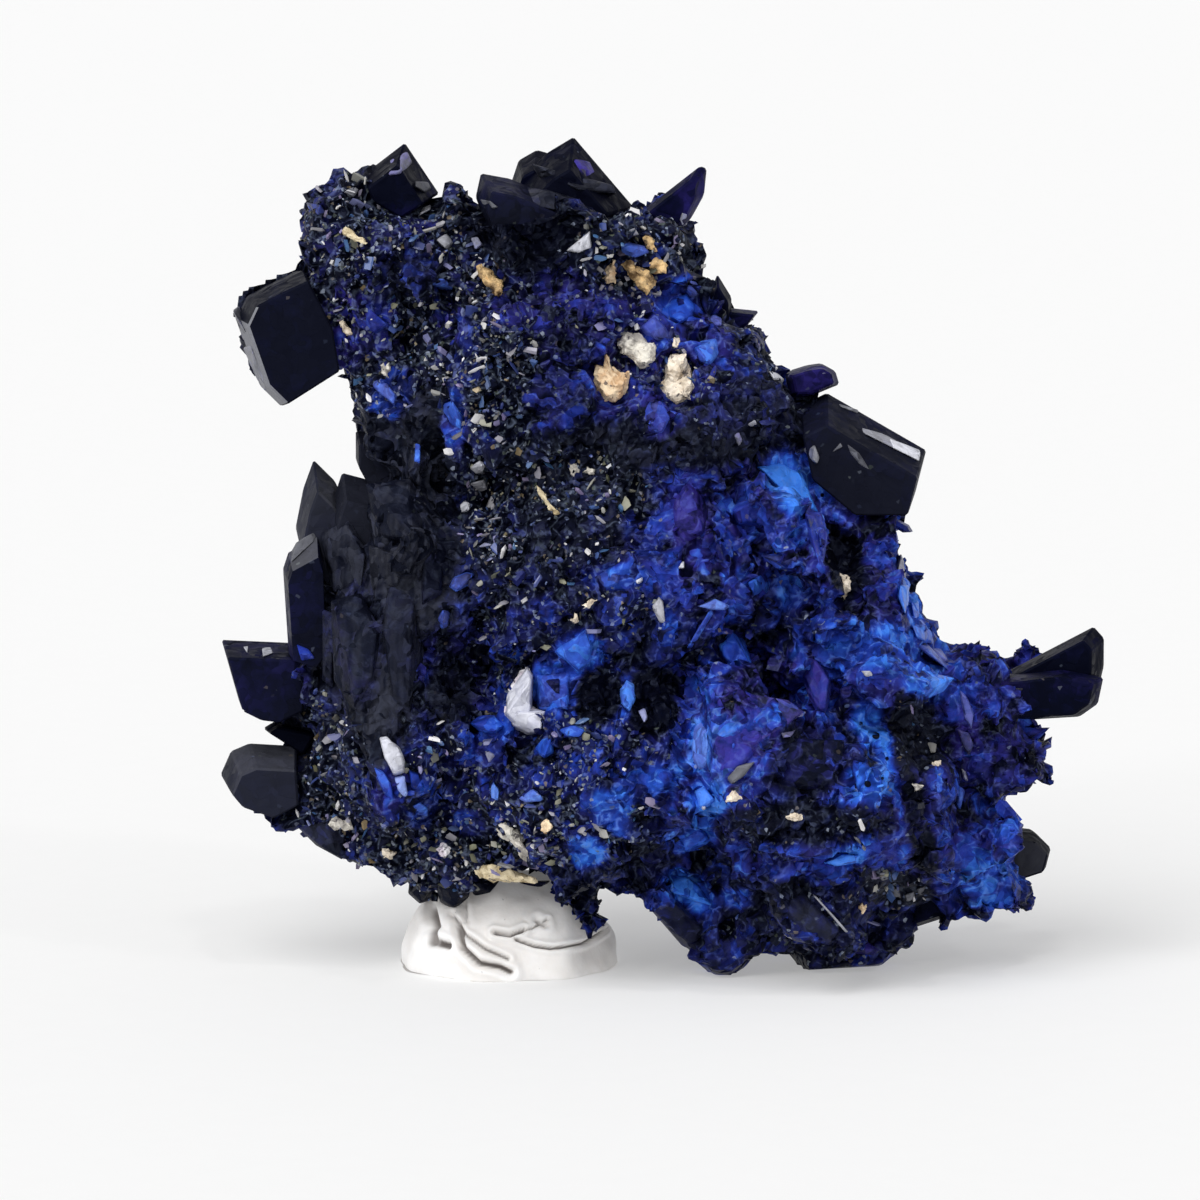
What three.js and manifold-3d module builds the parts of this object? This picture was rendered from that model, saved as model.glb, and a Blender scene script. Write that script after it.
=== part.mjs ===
// Azurite specimen: a hand-sized cluster of intergrown dark blue crystals, with loose-set grains of
// pale matrix in its face, standing on a pressed lump of display putty.
//
// Units are millimetres. +X is to the viewer's right, +Y points away from the display side, +Z is up.
// The origin is the centre of the footprint's bounding box, on the surface the specimen stands on.
//
// The cluster is the union of three families of convex bodies:
//   lumps   rough bodies that make the massive azurite behind the crystals
//   plates  the large crystals, each an outline seen from the front, given a depth and bevelled faces
//   blades  small crystals grown outwards all over the front and the back of the lumps
import * as THREE from "three";
import { ConvexGeometry } from "three/addons/geometries/ConvexGeometry.js";
import { mergeVertices } from "three/addons/utils/BufferGeometryUtils.js";
import Module from "manifold-3d";

const wasm = await Module();
wasm.setup();

// ---- driving dimensions -------------------------------------------------------------------------

const HALF_DEPTH = 9.6; // the cluster reaches this far in front of and behind the origin
const CLEARANCE = 0.3; // kept between touching pieces
const SURFACE = 0; // height of the surface the specimen stands on

const BLADE_SPACING = 5.0; // mm of lump surface for each small crystal
const BLADE_LENGTH = [1.3, 2.5];
const BLADE_WIDTH = [1.9, 3.4];
const BLADE_FLATNESS = 0.45; // thickness over width
const BLADE_TILT = 1.1; // how far a blade leans away from the lump's normal
const BLADE_TAPER = 0.8; // width at the root over width at the shoulder
const BLADE_SHOULDER = 0.55; // where the end wedge starts, as a share of the length
const ROOT_DEPTH = 0.88; // where the blades start, as a share of the lump's size
const SIDE_LIMIT = 0.35; // blades whose direction lies closer than this to the outline plane are left out
const BLADE_FLOOR = 1.5; // no blade tip is lower than this

const WAIST = 0.45; // where a large crystal is widest, as a share of its depth from the front

const PUTTY = { x: -6.0, y: 0.2, halfWidth: 4.3, halfDepth: 3.9, height: 4.2, waist: 0.6 };

// Lumps: centre and half-sizes along X, Y and Z.
const LUMPS = [
  { at: [6.0, -0.4, 6.6], half: [6.2, 8.4, 5.4] }, // lower right
  { at: [-2.4, 0.0, 8.6], half: [6.6, 9.2, 5.4] }, // lower middle
  { at: [-9.6, 0.4, 9.6], half: [4.2, 6.2, 5.2] }, // lower left
  { at: [-1.6, 0.2, 15.5], half: [8.4, 8.2, 6.0] }, // middle
  { at: [-3.9, 0.4, 22.8], half: [6.8, 6.8, 6.0] }, // upper
  { at: [-10.6, 0.4, 26.8], half: [2.9, 4.4, 3.2] }, // upper left
  { at: [0.9, 0.2, 20.6], half: [4.5, 6.8, 4.9] }, // right shoulder
  { at: [6.5, 0.0, 12.6], half: [3.8, 6.6, 4.4] }, // right
  { at: [12.0, 0.4, 9.6], half: [2.6, 3.8, 2.6] }, // right arm
  { at: [10.8, 0.2, 4.8], half: [2.9, 4.8, 2.5] }, // lower right corner
  { at: [-2.2, 0.4, 27.2], half: [4.6, 4.2, 2.2] }, // top
  { at: [-9.0, -0.4, 14.6], half: [3.9, 5.8, 4.8] }, // left
  { at: [-8.8, 0.3, 21.6], half: [2.5, 4.4, 3.0] }, // left neck
  { at: [-7.6, 0.2, 5.2], half: [3.0, 5.0, 2.4] }, // above the putty
  { at: [-2.0, 0.6, 5.6], half: [3.4, 6.2, 2.4] }, // underside
  { at: [4.8, 0.6, 3.0], half: [4.3, 5.8, 2.6] }, // foot
];
const LUMP_ROUGHNESS = 0.07; // share of the half-size that each corner of a lump moves in or out

// Plates: outline as [x, z] points, nearest and farthest y, how much the end faces are smaller than the
// outline, and how far the front face is shifted to widen the bevel on one side.
const PLATES = [
  // upper left
  { name: "corner block", y: [-2.6, 2.6], inset: 0.1, shift: [0.7, 0.1],
    outline: [[-16.2, 24.9], [-15.8, 26.1], [-13.9, 26.9], [-10.8, 27.6], [-10.6, 23.7], [-14.5, 21.6], [-15.3, 22.4]] },
  { name: "corner wall", y: [-2.4, 3.0], inset: 0.14, shift: [0.2, -0.2],
    outline: [[-13.7, 29.7], [-12.9, 30.0], [-11.4, 30.0], [-10.6, 28.3], [-11.9, 26.4], [-13.9, 27.0]] },
  { name: "corner tip", y: [-1.6, 2.4], inset: 0.25, shift: [-0.3, -0.4],
    outline: [[-9.8, 31.4], [-9.3, 30.8], [-8.5, 29.6], [-10.0, 28.4], [-12.3, 29.0], [-12.5, 30.6], [-10.6, 30.9]] },
  { name: "saddle knob", y: [-2.0, 2.4], inset: 0.25, shift: [0, -0.2],
    outline: [[-8.5, 30.0], [-7.9, 30.1], [-6.9, 29.4], [-6.6, 27.6], [-9.0, 27.8]] },
  { name: "neck blade", y: [-3.2, 2.6], inset: 0.12, shift: [0.3, 0],
    outline: [[-11.8, 22.8], [-11.7, 19.7], [-10.9, 19.2], [-8.8, 18.6], [-8.4, 23.4], [-10.6, 24.2]] },
  // top
  { name: "top left wedge", y: [-3.4, 1.6], inset: 0.18, shift: [0.2, -0.3],
    outline: [[-7.1, 29.6], [-6.9, 30.5], [-5.8, 30.3], [-3.7, 29.4], [-3.4, 27.6], [-6.6, 27.6]] },
  { name: "top rear lobe", y: [-0.6, 3.2], inset: 0.25, shift: [0, -0.3],
    outline: [[-5.9, 29.6], [-5.5, 30.8], [-4.8, 31.2], [-4.1, 31.0], [-3.0, 29.0], [-5.5, 28.6]] },
  { name: "top peak", y: [-2.2, 2.6], inset: 0.38, shift: [-0.1, -0.3],
    outline: [[-3.4, 31.8], [-2.5, 30.7], [-1.1, 29.1], [-1.6, 27.8], [-5.5, 28.2], [-6.0, 29.6], [-4.4, 31.2]] },
  { name: "top ledge", y: [-4.6, 0.4], inset: 0.2, shift: [0.2, 0.5],
    outline: [[-7.4, 28.6], [-3.9, 29.4], [-0.5, 28.6], [-1.8, 27.0], [-4.1, 26.2], [-6.4, 26.8]] },
  { name: "top right slab", y: [-2.6, 2.4], inset: 0.2, shift: [0, -0.2],
    outline: [[-2.6, 29.8], [-0.9, 29.2], [1.0, 28.9], [1.4, 27.0], [0.4, 25.6], [-2.4, 26.6]] },
  { name: "spike", y: [-0.7, 0.9], inset: 0.3, shift: [-0.2, -0.1],
    outline: [[1.4, 30.7], [1.65, 30.6], [1.55, 29.6], [1.0, 28.9], [0.2, 27.9], [-0.9, 28.9]] },
  // right shoulder
  { name: "shoulder spur", y: [-1.0, 0.8], inset: 0.3, shift: [0, 0],
    outline: [[2.05, 26.6], [2.6, 25.7], [2.6, 24.2], [1.2, 24.4]] },
  { name: "shoulder peg", y: [-0.7, 0.9], inset: 0.25, shift: [0, 0],
    outline: [[2.2, 25.3], [3.6, 25.4], [3.4, 24.7], [2.4, 23.8]] },
  { name: "shoulder face", y: [-3.4, 2.6], inset: 0.3, shift: [-0.4, -0.3],
    outline: [[1.6, 26.6], [3.6, 24.8], [4.6, 22.8], [3.6, 20.8], [0.8, 22.6]] },
  { name: "violet peg", y: [-1.4, 0.6], inset: 0.25, shift: [0, 0.1],
    outline: [[5.2, 22.5], [5.8, 23.1], [6.3, 23.2], [6.7, 22.6], [6.2, 22.1], [5.3, 21.4]] },
  { name: "right block", y: [-3.0, 2.4], inset: 0.1, shift: [-0.2, -0.75],
    outline: [[6.2, 22.1], [10.0, 19.9], [9.8, 19.1], [9.5, 17.3], [9.1, 16.9], [6.0, 16.8], [3.4, 19.8], [4.6, 22.0]] },
  { name: "right slope", y: [-3.6, 2.8], inset: 0.3, shift: [-0.3, 0],
    outline: [[8.5, 16.4], [9.2, 16.1], [10.1, 14.1], [10.6, 12.4], [8.7, 11.2], [6.5, 14.0]] },
  // right arm
  { name: "arm root", y: [-2.8, 3.4], inset: 0.22, shift: [-0.2, -0.2],
    outline: [[9.8, 12.4], [11.9, 12.0], [14.0, 11.6], [14.6, 10.0], [12.9, 8.6], [10.2, 9.0]] },
  { name: "arm upper blade", y: [-0.6, 2.2], inset: 0.22, shift: [-0.2, 0],
    outline: [[12.8, 11.0], [14.2, 11.7], [16.5, 12.95], [16.9, 12.5], [16.9, 11.4], [16.7, 10.5], [14.8, 10.1], [12.9, 10.2]] },
  { name: "arm lower blade", y: [-2.0, 0.4], inset: 0.2, shift: [-0.1, 0.1],
    outline: [[12.5, 11.2], [15.2, 11.5], [16.8, 11.2], [16.6, 10.2], [15.9, 9.7], [14.7, 9.7], [12.7, 9.5]] },
  { name: "arm lower step", y: [-2.8, 2.4], inset: 0.18, shift: [-0.2, 0],
    outline: [[10.8, 9.6], [14.4, 9.2], [15.0, 8.6], [14.8, 7.4], [13.2, 6.7], [10.8, 6.4]] },
  { name: "arm spur", y: [-0.5, 0.7], inset: 0.3, shift: [0, 0],
    outline: [[13.8, 7.9], [15.15, 7.1], [13.2, 6.6]] },
  // lower right
  { name: "rear stub", y: [0.8, 3.8], inset: 0.15, shift: [0, 0],
    outline: [[12.4, 4.9], [14.2, 4.6], [14.8, 4.1], [14.6, 3.3], [13.6, 2.9], [12.2, 3.2]] },
  { name: "corner foot", y: [-2.6, 1.6], inset: 0.2, shift: [-0.2, 0.2],
    outline: [[10.2, 4.6], [13.6, 3.9], [14.3, 2.5], [14.4, 2.0], [12.9, 2.0], [10.4, 1.4]] },
  { name: "front foot", y: [-3.6, 0.4], inset: 0.2, shift: [0, 0.2],
    outline: [[-1.0, 3.6], [0.6, 4.6], [3.4, 4.4], [3.8, 0.8], [2.7, -0.3], [2.0, -0.3], [0.8, 0.8], [-0.2, 2.2]] },
  { name: "right foot", y: [-2.4, 2.6], inset: 0.15, shift: [0, 0.2],
    outline: [[4.2, 2.4], [8.2, 3.2], [10.4, 2.7], [9.9, 1.3], [8.4, -0.1], [5.2, -0.3]] },
  { name: "rear foot", y: [3.4, 6.4], inset: 0.2, shift: [0, 0.2],
    outline: [[0.6, 4.0], [4.6, 4.2], [4.2, -0.2], [2.6, -0.3]] },
  { name: "underside fang", y: [-3.4, -0.8], inset: 0.22, shift: [0, 0.1],
    outline: [[-4.4, 4.2], [-2.3, 4.2], [-2.15, 2.6], [-2.65, 1.3], [-3.5, 2.3]] },
  // lower left
  { name: "left dark block", y: [-2.6, 2.2], inset: 0.16, shift: [0.3, -0.45],
    outline: [[-16.9, 7.4], [-16.5, 8.3], [-15.8, 8.6], [-12.9, 8.4], [-12.0, 6.2], [-15.2, 5.7], [-16.5, 6.4]] },
  { name: "left shelf", y: [-2.2, 2.4], inset: 0.12, shift: [0.1, -0.2],
    outline: [[-16.85, 12.55], [-15.3, 12.5], [-12.8, 12.4], [-12.6, 9.6], [-15.2, 9.6], [-16.2, 10.0]] },
  { name: "left chip", y: [-0.8, 1.2], inset: 0.25, shift: [0, 0],
    outline: [[-15.3, 9.1], [-14.8, 9.4], [-13.0, 9.0], [-13.6, 8.0]] },
  { name: "left skirt", y: [-2.6, 2.8], inset: 0.25, shift: [0.2, 0],
    outline: [[-13.8, 7.0], [-10.0, 7.6], [-8.4, 2.7], [-10.2, 3.1], [-12.2, 4.1], [-13.9, 5.1]] },
  // left wall
  { name: "left column", y: [-3.6, -0.6], inset: 0.12, shift: [0.15, -0.3],
    outline: [[-14.4, 15.6], [-14.2, 16.3], [-13.1, 16.9], [-12.7, 16.1], [-12.4, 12.7], [-12.6, 10.0], [-14.1, 10.4], [-14.3, 14.0]] },
  { name: "left peak", y: [-2.2, 2.2], inset: 0.22, shift: [0.1, -0.3],
    outline: [[-13.3, 19.4], [-12.5, 18.6], [-11.0, 15.6], [-11.4, 12.5], [-13.4, 14.1], [-13.9, 16.8], [-13.7, 18.4]] },
  { name: "left second peak", y: [-3.2, 1.6], inset: 0.2, shift: [0, -0.2],
    outline: [[-12.1, 18.9], [-10.8, 18.3], [-9.4, 15.6], [-10.2, 11.8], [-12.1, 13.3], [-12.6, 17.9]] },
  { name: "left tall slab", y: [-5.0, -1.0], inset: 0.16, shift: [0.2, 0],
    outline: [[-11.3, 18.4], [-9.3, 19.2], [-7.6, 15.9], [-8.3, 11.6], [-10.6, 12.0], [-11.3, 15.9]] },
  { name: "left long blade", y: [-6.4, -2.6], inset: 0.2, shift: [0.1, 0],
    outline: [[-12.3, 14.5], [-10.6, 15.0], [-8.8, 11.4], [-8.6, 7.2], [-10.4, 5.6], [-12.1, 9.9]] },
  // display face
  { name: "azure plate", y: [-8.0, -4.6], inset: 0.22, shift: [0, 0.1],
    outline: [[2.9, 19.4], [4.8, 19.3], [6.0, 17.9], [6.8, 15.4], [6.2, 14.6], [4.6, 16.0]] },
  { name: "violet slab", y: [-9.3, -5.2], inset: 0.2, shift: [0.1, 0],
    outline: [[1.2, 12.6], [2.8, 12.7], [4.2, 10.8], [5.4, 10.2], [4.0, 7.6], [2.2, 5.8], [1.3, 8.4]] },
  { name: "dark slab", y: [-8.8, -5.4], inset: 0.15, shift: [0.2, 0.1],
    outline: [[4.6, 10.2], [7.2, 9.6], [7.6, 7.0], [6.2, 5.0], [3.4, 5.4], [3.2, 7.2]] },
  { name: "blue shelf", y: [-7.6, -4.0], inset: 0.25, shift: [0, -0.2],
    outline: [[6.0, 12.6], [8.2, 13.6], [10.4, 12.2], [10.0, 10.8], [7.8, 10.8]] },
  { name: "blue ridge", y: [-HALF_DEPTH, -6.0], inset: 0.25, shift: [0, 0],
    outline: [[6.7, 9.9], [7.8, 10.0], [8.6, 8.6], [8.2, 6.6], [7.0, 6.4], [6.8, 8.0]] },
  { name: "lower slab", y: [-7.4, -3.2], inset: 0.16, shift: [-0.2, 0.2],
    outline: [[4.4, 4.4], [6.8, 3.6], [7.8, 1.8], [6.6, 0.8], [4.4, 2.2]] },
  // back
  { name: "back slab", y: [5.4, HALF_DEPTH], inset: 0.25, shift: [0, 0],
    outline: [[-5.4, 11.8], [-1.4, 13.2], [0.8, 9.6], [-1.2, 5.6], [-4.8, 6.8]] },
  { name: "back wall", y: [4.6, 8.8], inset: 0.25, shift: [0, 0],
    outline: [[-3.6, 19.8], [0.4, 20.4], [3.2, 16.2], [1.2, 12.8], [-3.2, 14.2]] },
  { name: "back block", y: [4.0, 9.0], inset: 0.18, shift: [0, 0],
    outline: [[3.4, 10.4], [7.0, 10.8], [8.8, 7.4], [6.8, 4.2], [3.2, 5.2]] },
  { name: "back fin", y: [3.6, 7.4], inset: 0.3, shift: [0, 0],
    outline: [[-8.6, 25.6], [-5.2, 27.2], [-3.0, 23.4], [-5.8, 19.8], [-8.4, 21.4]] },
];

// Grains of pale matrix set in the face: centre, half-sizes, and the colour it shows.
const GRAINS = [
  { name: "cream_grain_left", at: [-2.0, -5.7, 23.2], half: [0.85, 0.75, 0.95], colour: 0xe6c08c },
  { name: "cream_grain_right", at: [0.7, -5.1, 23.2], half: [0.7, 0.8, 1.1], colour: 0xe9d3b4 },
  { name: "grey_grain", at: [-1.0, -5.3, 24.4], half: [0.9, 0.7, 0.85], colour: 0xbdb3a2 },
  { name: "ochre_grain_left", at: [-6.4, -4.3, 26.8], half: [0.6, 0.7, 0.75], colour: 0xc79545 },
  { name: "ochre_grain_right", at: [-1.3, -4.1, 27.0], half: [1.0, 0.7, 0.65], colour: 0xd2a35c },
  { name: "white_crystal", at: [-5.3, -7.0, 11.2], half: [0.8, 0.7, 1.3], colour: 0xe8e2ea },
  { name: "ivory_chip", at: [6.7, -5.1, 15.3], half: [0.35, 0.5, 0.5], colour: 0xd9c8a4 },
  { name: "ochre_strip", at: [-5.7, -3.3, 4.0], half: [1.6, 0.8, 0.5], colour: 0xcdb078 },
];

const AZURITE = { color: 0x0a0e2c, roughness: 0.3, metalness: 0 };
const PUTTY_FINISH = { color: 0xcfcac4, roughness: 0.55, metalness: 0 };

// ---- convex bodies ------------------------------------------------------------------------------

// A repeatable random number from 0 to 1.
function dice(seed) {
  let state = seed >>> 0;
  return () => {
    state = (state + 0x6d2b79f5) >>> 0;
    let mixed = Math.imul(state ^ (state >>> 15), state | 1);
    mixed ^= mixed + Math.imul(mixed ^ (mixed >>> 7), mixed | 61);
    return ((mixed ^ (mixed >>> 14)) >>> 0) / 4294967296;
  };
}

const between = ([low, high], share) => low + (high - low) * share;

// A closed geometry as a manifold-3d solid.
function solidOf(geometry) {
  const bare = geometry.clone();
  bare.deleteAttribute("normal");
  bare.deleteAttribute("uv");
  const merged = mergeVertices(bare, 1e-4);
  return new wasm.Manifold(new wasm.Mesh({
    numProp: 3,
    vertProperties: merged.attributes.position.array,
    triVerts: new Uint32Array(merged.index.array),
  }));
}

const hull = (points) => solidOf(new ConvexGeometry(points));

// A rough ellipsoid with few flat faces.
function lump({ at, half }, roll) {
  const ball = mergeVertices(new THREE.IcosahedronGeometry(1, 1).deleteAttribute("normal").deleteAttribute("uv"));
  const corners = [];
  for (let i = 0; i < ball.attributes.position.count; i++) {
    const swell = 1 + LUMP_ROUGHNESS * (2 * roll() - 1);
    corners.push(new THREE.Vector3()
      .fromBufferAttribute(ball.attributes.position, i)
      .multiplyScalar(swell)
      .multiply(new THREE.Vector3(...half))
      .add(new THREE.Vector3(...at)));
  }
  return hull(corners);
}

// A large crystal: its full outline at mid-depth, with smaller faces at the front and the back.
function plate({ outline, y: [near, far], inset, shift }) {
  const middle = outline
    .reduce((sum, [x, z]) => [sum[0] + x, sum[1] + z], [0, 0])
    .map((total) => total / outline.length);
  const ring = (y, scale, [dx, dz]) => outline.map(([x, z]) => new THREE.Vector3(
    middle[0] + (x - middle[0]) * scale + dx,
    y,
    middle[1] + (z - middle[1]) * scale + dz,
  ));
  const waist = near + (far - near) * WAIST;
  return hull([
    ...ring(near, 1 - inset, shift),
    ...ring(waist, 1, [0, 0]),
    ...ring(far, 1 - inset, [-shift[0], shift[1]]),
  ]);
}

// A small flat crystal that grows along direction from root and ends in a wedge. Its root reaches as far
// into the lump as its tip stands out.
function blade(root, direction, length, width, twist) {
  const along = new THREE.Quaternion().setFromUnitVectors(new THREE.Vector3(0, 0, 1), direction);
  const rolled = new THREE.Quaternion().setFromAxisAngle(new THREE.Vector3(0, 0, 1), twist);
  const thick = width * BLADE_FLATNESS;
  const section = [[0.5, 0], [0.3, 0.5], [-0.3, 0.5], [-0.5, 0], [-0.3, -0.5], [0.3, -0.5]];
  const ring = (z, scale) => section.map(([x, y]) => new THREE.Vector3(x * width * scale, y * thick * scale, z));
  const edge = [-0.34, 0.3].map((x) => new THREE.Vector3(x * width, 0, length));
  const corners = [...ring(-length, BLADE_TAPER), ...ring(length * BLADE_SHOULDER, 1), ...edge];
  corners.forEach((corner) => corner.applyQuaternion(rolled).applyQuaternion(along).add(root));
  return hull(corners);
}

// Blades spread evenly over the front and back of one lump.
function bladesOn({ at, half }, roll) {
  const [a, b, c] = half;
  const area = 4 * Math.PI * (((a * b) ** 1.6 + (a * c) ** 1.6 + (b * c) ** 1.6) / 3) ** (1 / 1.6);
  const count = Math.round(area / BLADE_SPACING ** 2);
  const golden = Math.PI * (3 - Math.sqrt(5));
  const made = [];
  for (let i = 0; i < count; i++) {
    const height = 1 - (2 * (i + 0.5)) / count;
    const reach = Math.sqrt(1 - height * height);
    const turn = golden * i + roll();
    const onBall = new THREE.Vector3(reach * Math.cos(turn), height, reach * Math.sin(turn));
    const normal = onBall.clone().divide(new THREE.Vector3(...half)).normalize();
    const tilt = new THREE.Vector3(roll() - 0.5, roll() - 0.5, roll() - 0.5);
    const direction = normal.clone().addScaledVector(tilt, BLADE_TILT).normalize();
    const root = onBall.multiply(new THREE.Vector3(...half))
      .multiplyScalar(ROOT_DEPTH)
      .add(new THREE.Vector3(...at));
    const length = between(BLADE_LENGTH, roll());
    const width = between(BLADE_WIDTH, roll());
    const twist = Math.PI * roll();
    if (Math.abs(normal.y) < SIDE_LIMIT || Math.abs(direction.y) < SIDE_LIMIT) continue;
    if (Math.abs(root.y + direction.y * length) > HALF_DEPTH - CLEARANCE) continue;
    if (root.z + direction.z * length < BLADE_FLOOR) continue;
    made.push(blade(root, direction, length, width, twist));
  }
  return made;
}

// ---- pieces -------------------------------------------------------------------------------------

const join = (solids) => solids.reduce((sum, solid) => sum.add(solid));

// The outermost shell of a solid, without any sealed hollow inside it or chip beside it.
const outerShell = (solid) => solid.decompose().reduce((a, b) => (b.volume() > a.volume() ? b : a));

// A solid slab that fills everything below the surface the specimen stands on.
function belowSurface() {
  const size = 80;
  return solidOf(new THREE.BoxGeometry(size, size, size).translate(0, 0, SURFACE - size / 2));
}

function grain({ at, half }, grow, seed) {
  const roll = dice(seed);
  return lump({ at, half: half.map((size) => size + grow) }, roll);
}

function cluster() {
  const roll = dice(7);
  const bodies = [
    ...LUMPS.map((body) => lump(body, roll)),
    ...PLATES.map(plate),
    ...LUMPS.flatMap((body) => bladesOn(body, roll)),
  ];
  const pockets = GRAINS.map((body, i) => grain(body, CLEARANCE, 100 + i));
  return outerShell(outerShell(join(bodies)).subtract(belowSurface()).subtract(join(pockets)));
}

// The putty is pressed flat below and moulded to the cluster above, a clearance away from it.
function putty(rock) {
  const { x, y, halfWidth, halfDepth, height, waist } = PUTTY;
  const dome = lump({ at: [x, y, SURFACE + waist], half: [halfWidth, halfDepth, height - waist] }, dice(31));
  const nudges = [[0, 0, 0], [0, 0, -1], [1, 0, 0], [-1, 0, 0], [0, 1, 0], [0, -1, 0]];
  const imprint = join(nudges.map((nudge) => rock.translate(nudge.map((step) => step * CLEARANCE))));
  return outerShell(dome.subtract(belowSurface()).subtract(imprint));
}

function meshOf(name, solid, finish) {
  const { numProp, vertProperties, triVerts } = solid.getMesh();
  const positions = new Float32Array((vertProperties.length / numProp) * 3);
  for (let i = 0; i < positions.length / 3; i++)
    positions.set(vertProperties.subarray(i * numProp, i * numProp + 3), i * 3);
  const geometry = new THREE.BufferGeometry();
  geometry.setAttribute("position", new THREE.BufferAttribute(positions, 3));
  geometry.setIndex(new THREE.BufferAttribute(triVerts, 1));
  geometry.computeVertexNormals();
  const mesh = new THREE.Mesh(geometry, new THREE.MeshStandardMaterial(finish));
  mesh.name = name;
  return mesh;
}

const rock = cluster();
const specimen = new THREE.Group();
specimen.add(meshOf("azurite_cluster", rock, AZURITE));
specimen.add(meshOf("display_putty", putty(rock), PUTTY_FINISH));
GRAINS.forEach((body, i) => {
  specimen.add(meshOf(body.name, grain(body, 0, 100 + i), { color: body.colour, roughness: 0.8, metalness: 0 }));
});

export default specimen;
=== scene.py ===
import math
import random

import bmesh
import bpy
import numpy as np
from bpy.props import FloatProperty, FloatVectorProperty, IntProperty, PointerProperty
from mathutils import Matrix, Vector, noise
from mathutils.bvhtree import BVHTree


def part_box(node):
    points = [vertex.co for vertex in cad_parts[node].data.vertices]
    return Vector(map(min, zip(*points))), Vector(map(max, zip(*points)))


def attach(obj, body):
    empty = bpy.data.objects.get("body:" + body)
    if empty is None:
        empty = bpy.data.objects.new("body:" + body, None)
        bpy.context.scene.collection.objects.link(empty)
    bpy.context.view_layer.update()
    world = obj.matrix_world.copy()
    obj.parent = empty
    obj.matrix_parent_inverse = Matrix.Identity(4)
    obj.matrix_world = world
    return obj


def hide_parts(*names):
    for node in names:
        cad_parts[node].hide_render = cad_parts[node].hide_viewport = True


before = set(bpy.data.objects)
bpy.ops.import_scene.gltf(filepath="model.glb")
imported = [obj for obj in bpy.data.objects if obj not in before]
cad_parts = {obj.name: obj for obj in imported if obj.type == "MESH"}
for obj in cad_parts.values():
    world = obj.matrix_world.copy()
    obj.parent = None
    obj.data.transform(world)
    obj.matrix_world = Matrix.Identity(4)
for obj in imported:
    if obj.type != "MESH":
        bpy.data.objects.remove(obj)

# Azurite specimen: the looks of a cluster of intergrown dark blue crystals, a druse of small crystals
# over all of it, pale grains of matrix in its display side, and the folded putty that it stands on.
#
# Blender's unit is the metre; the tables are in millimetres. +X is to the right of the display side,
# +Y points away from it and +Z is up. "Seen" places are (u, w): how far right and how far up a point
# stands for someone who looks at the display side from VIEW_TILT above level, whatever its depth.

bl_info = {
    "name": "Azurite Specimen",
    "version": (1, 0, 0),
    "blender": (4, 5, 0),
    "location": "3D View > Sidebar > Azurite",
    "description": "Builds an azurite crystal cluster with its druse, matrix grains, putty and stage",
    "category": "Add Mesh",
}

MM = 0.001
VIEW_TILT = math.radians(8.0)
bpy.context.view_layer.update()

# ---- tables -------------------------------------------------------------------------------------

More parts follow.
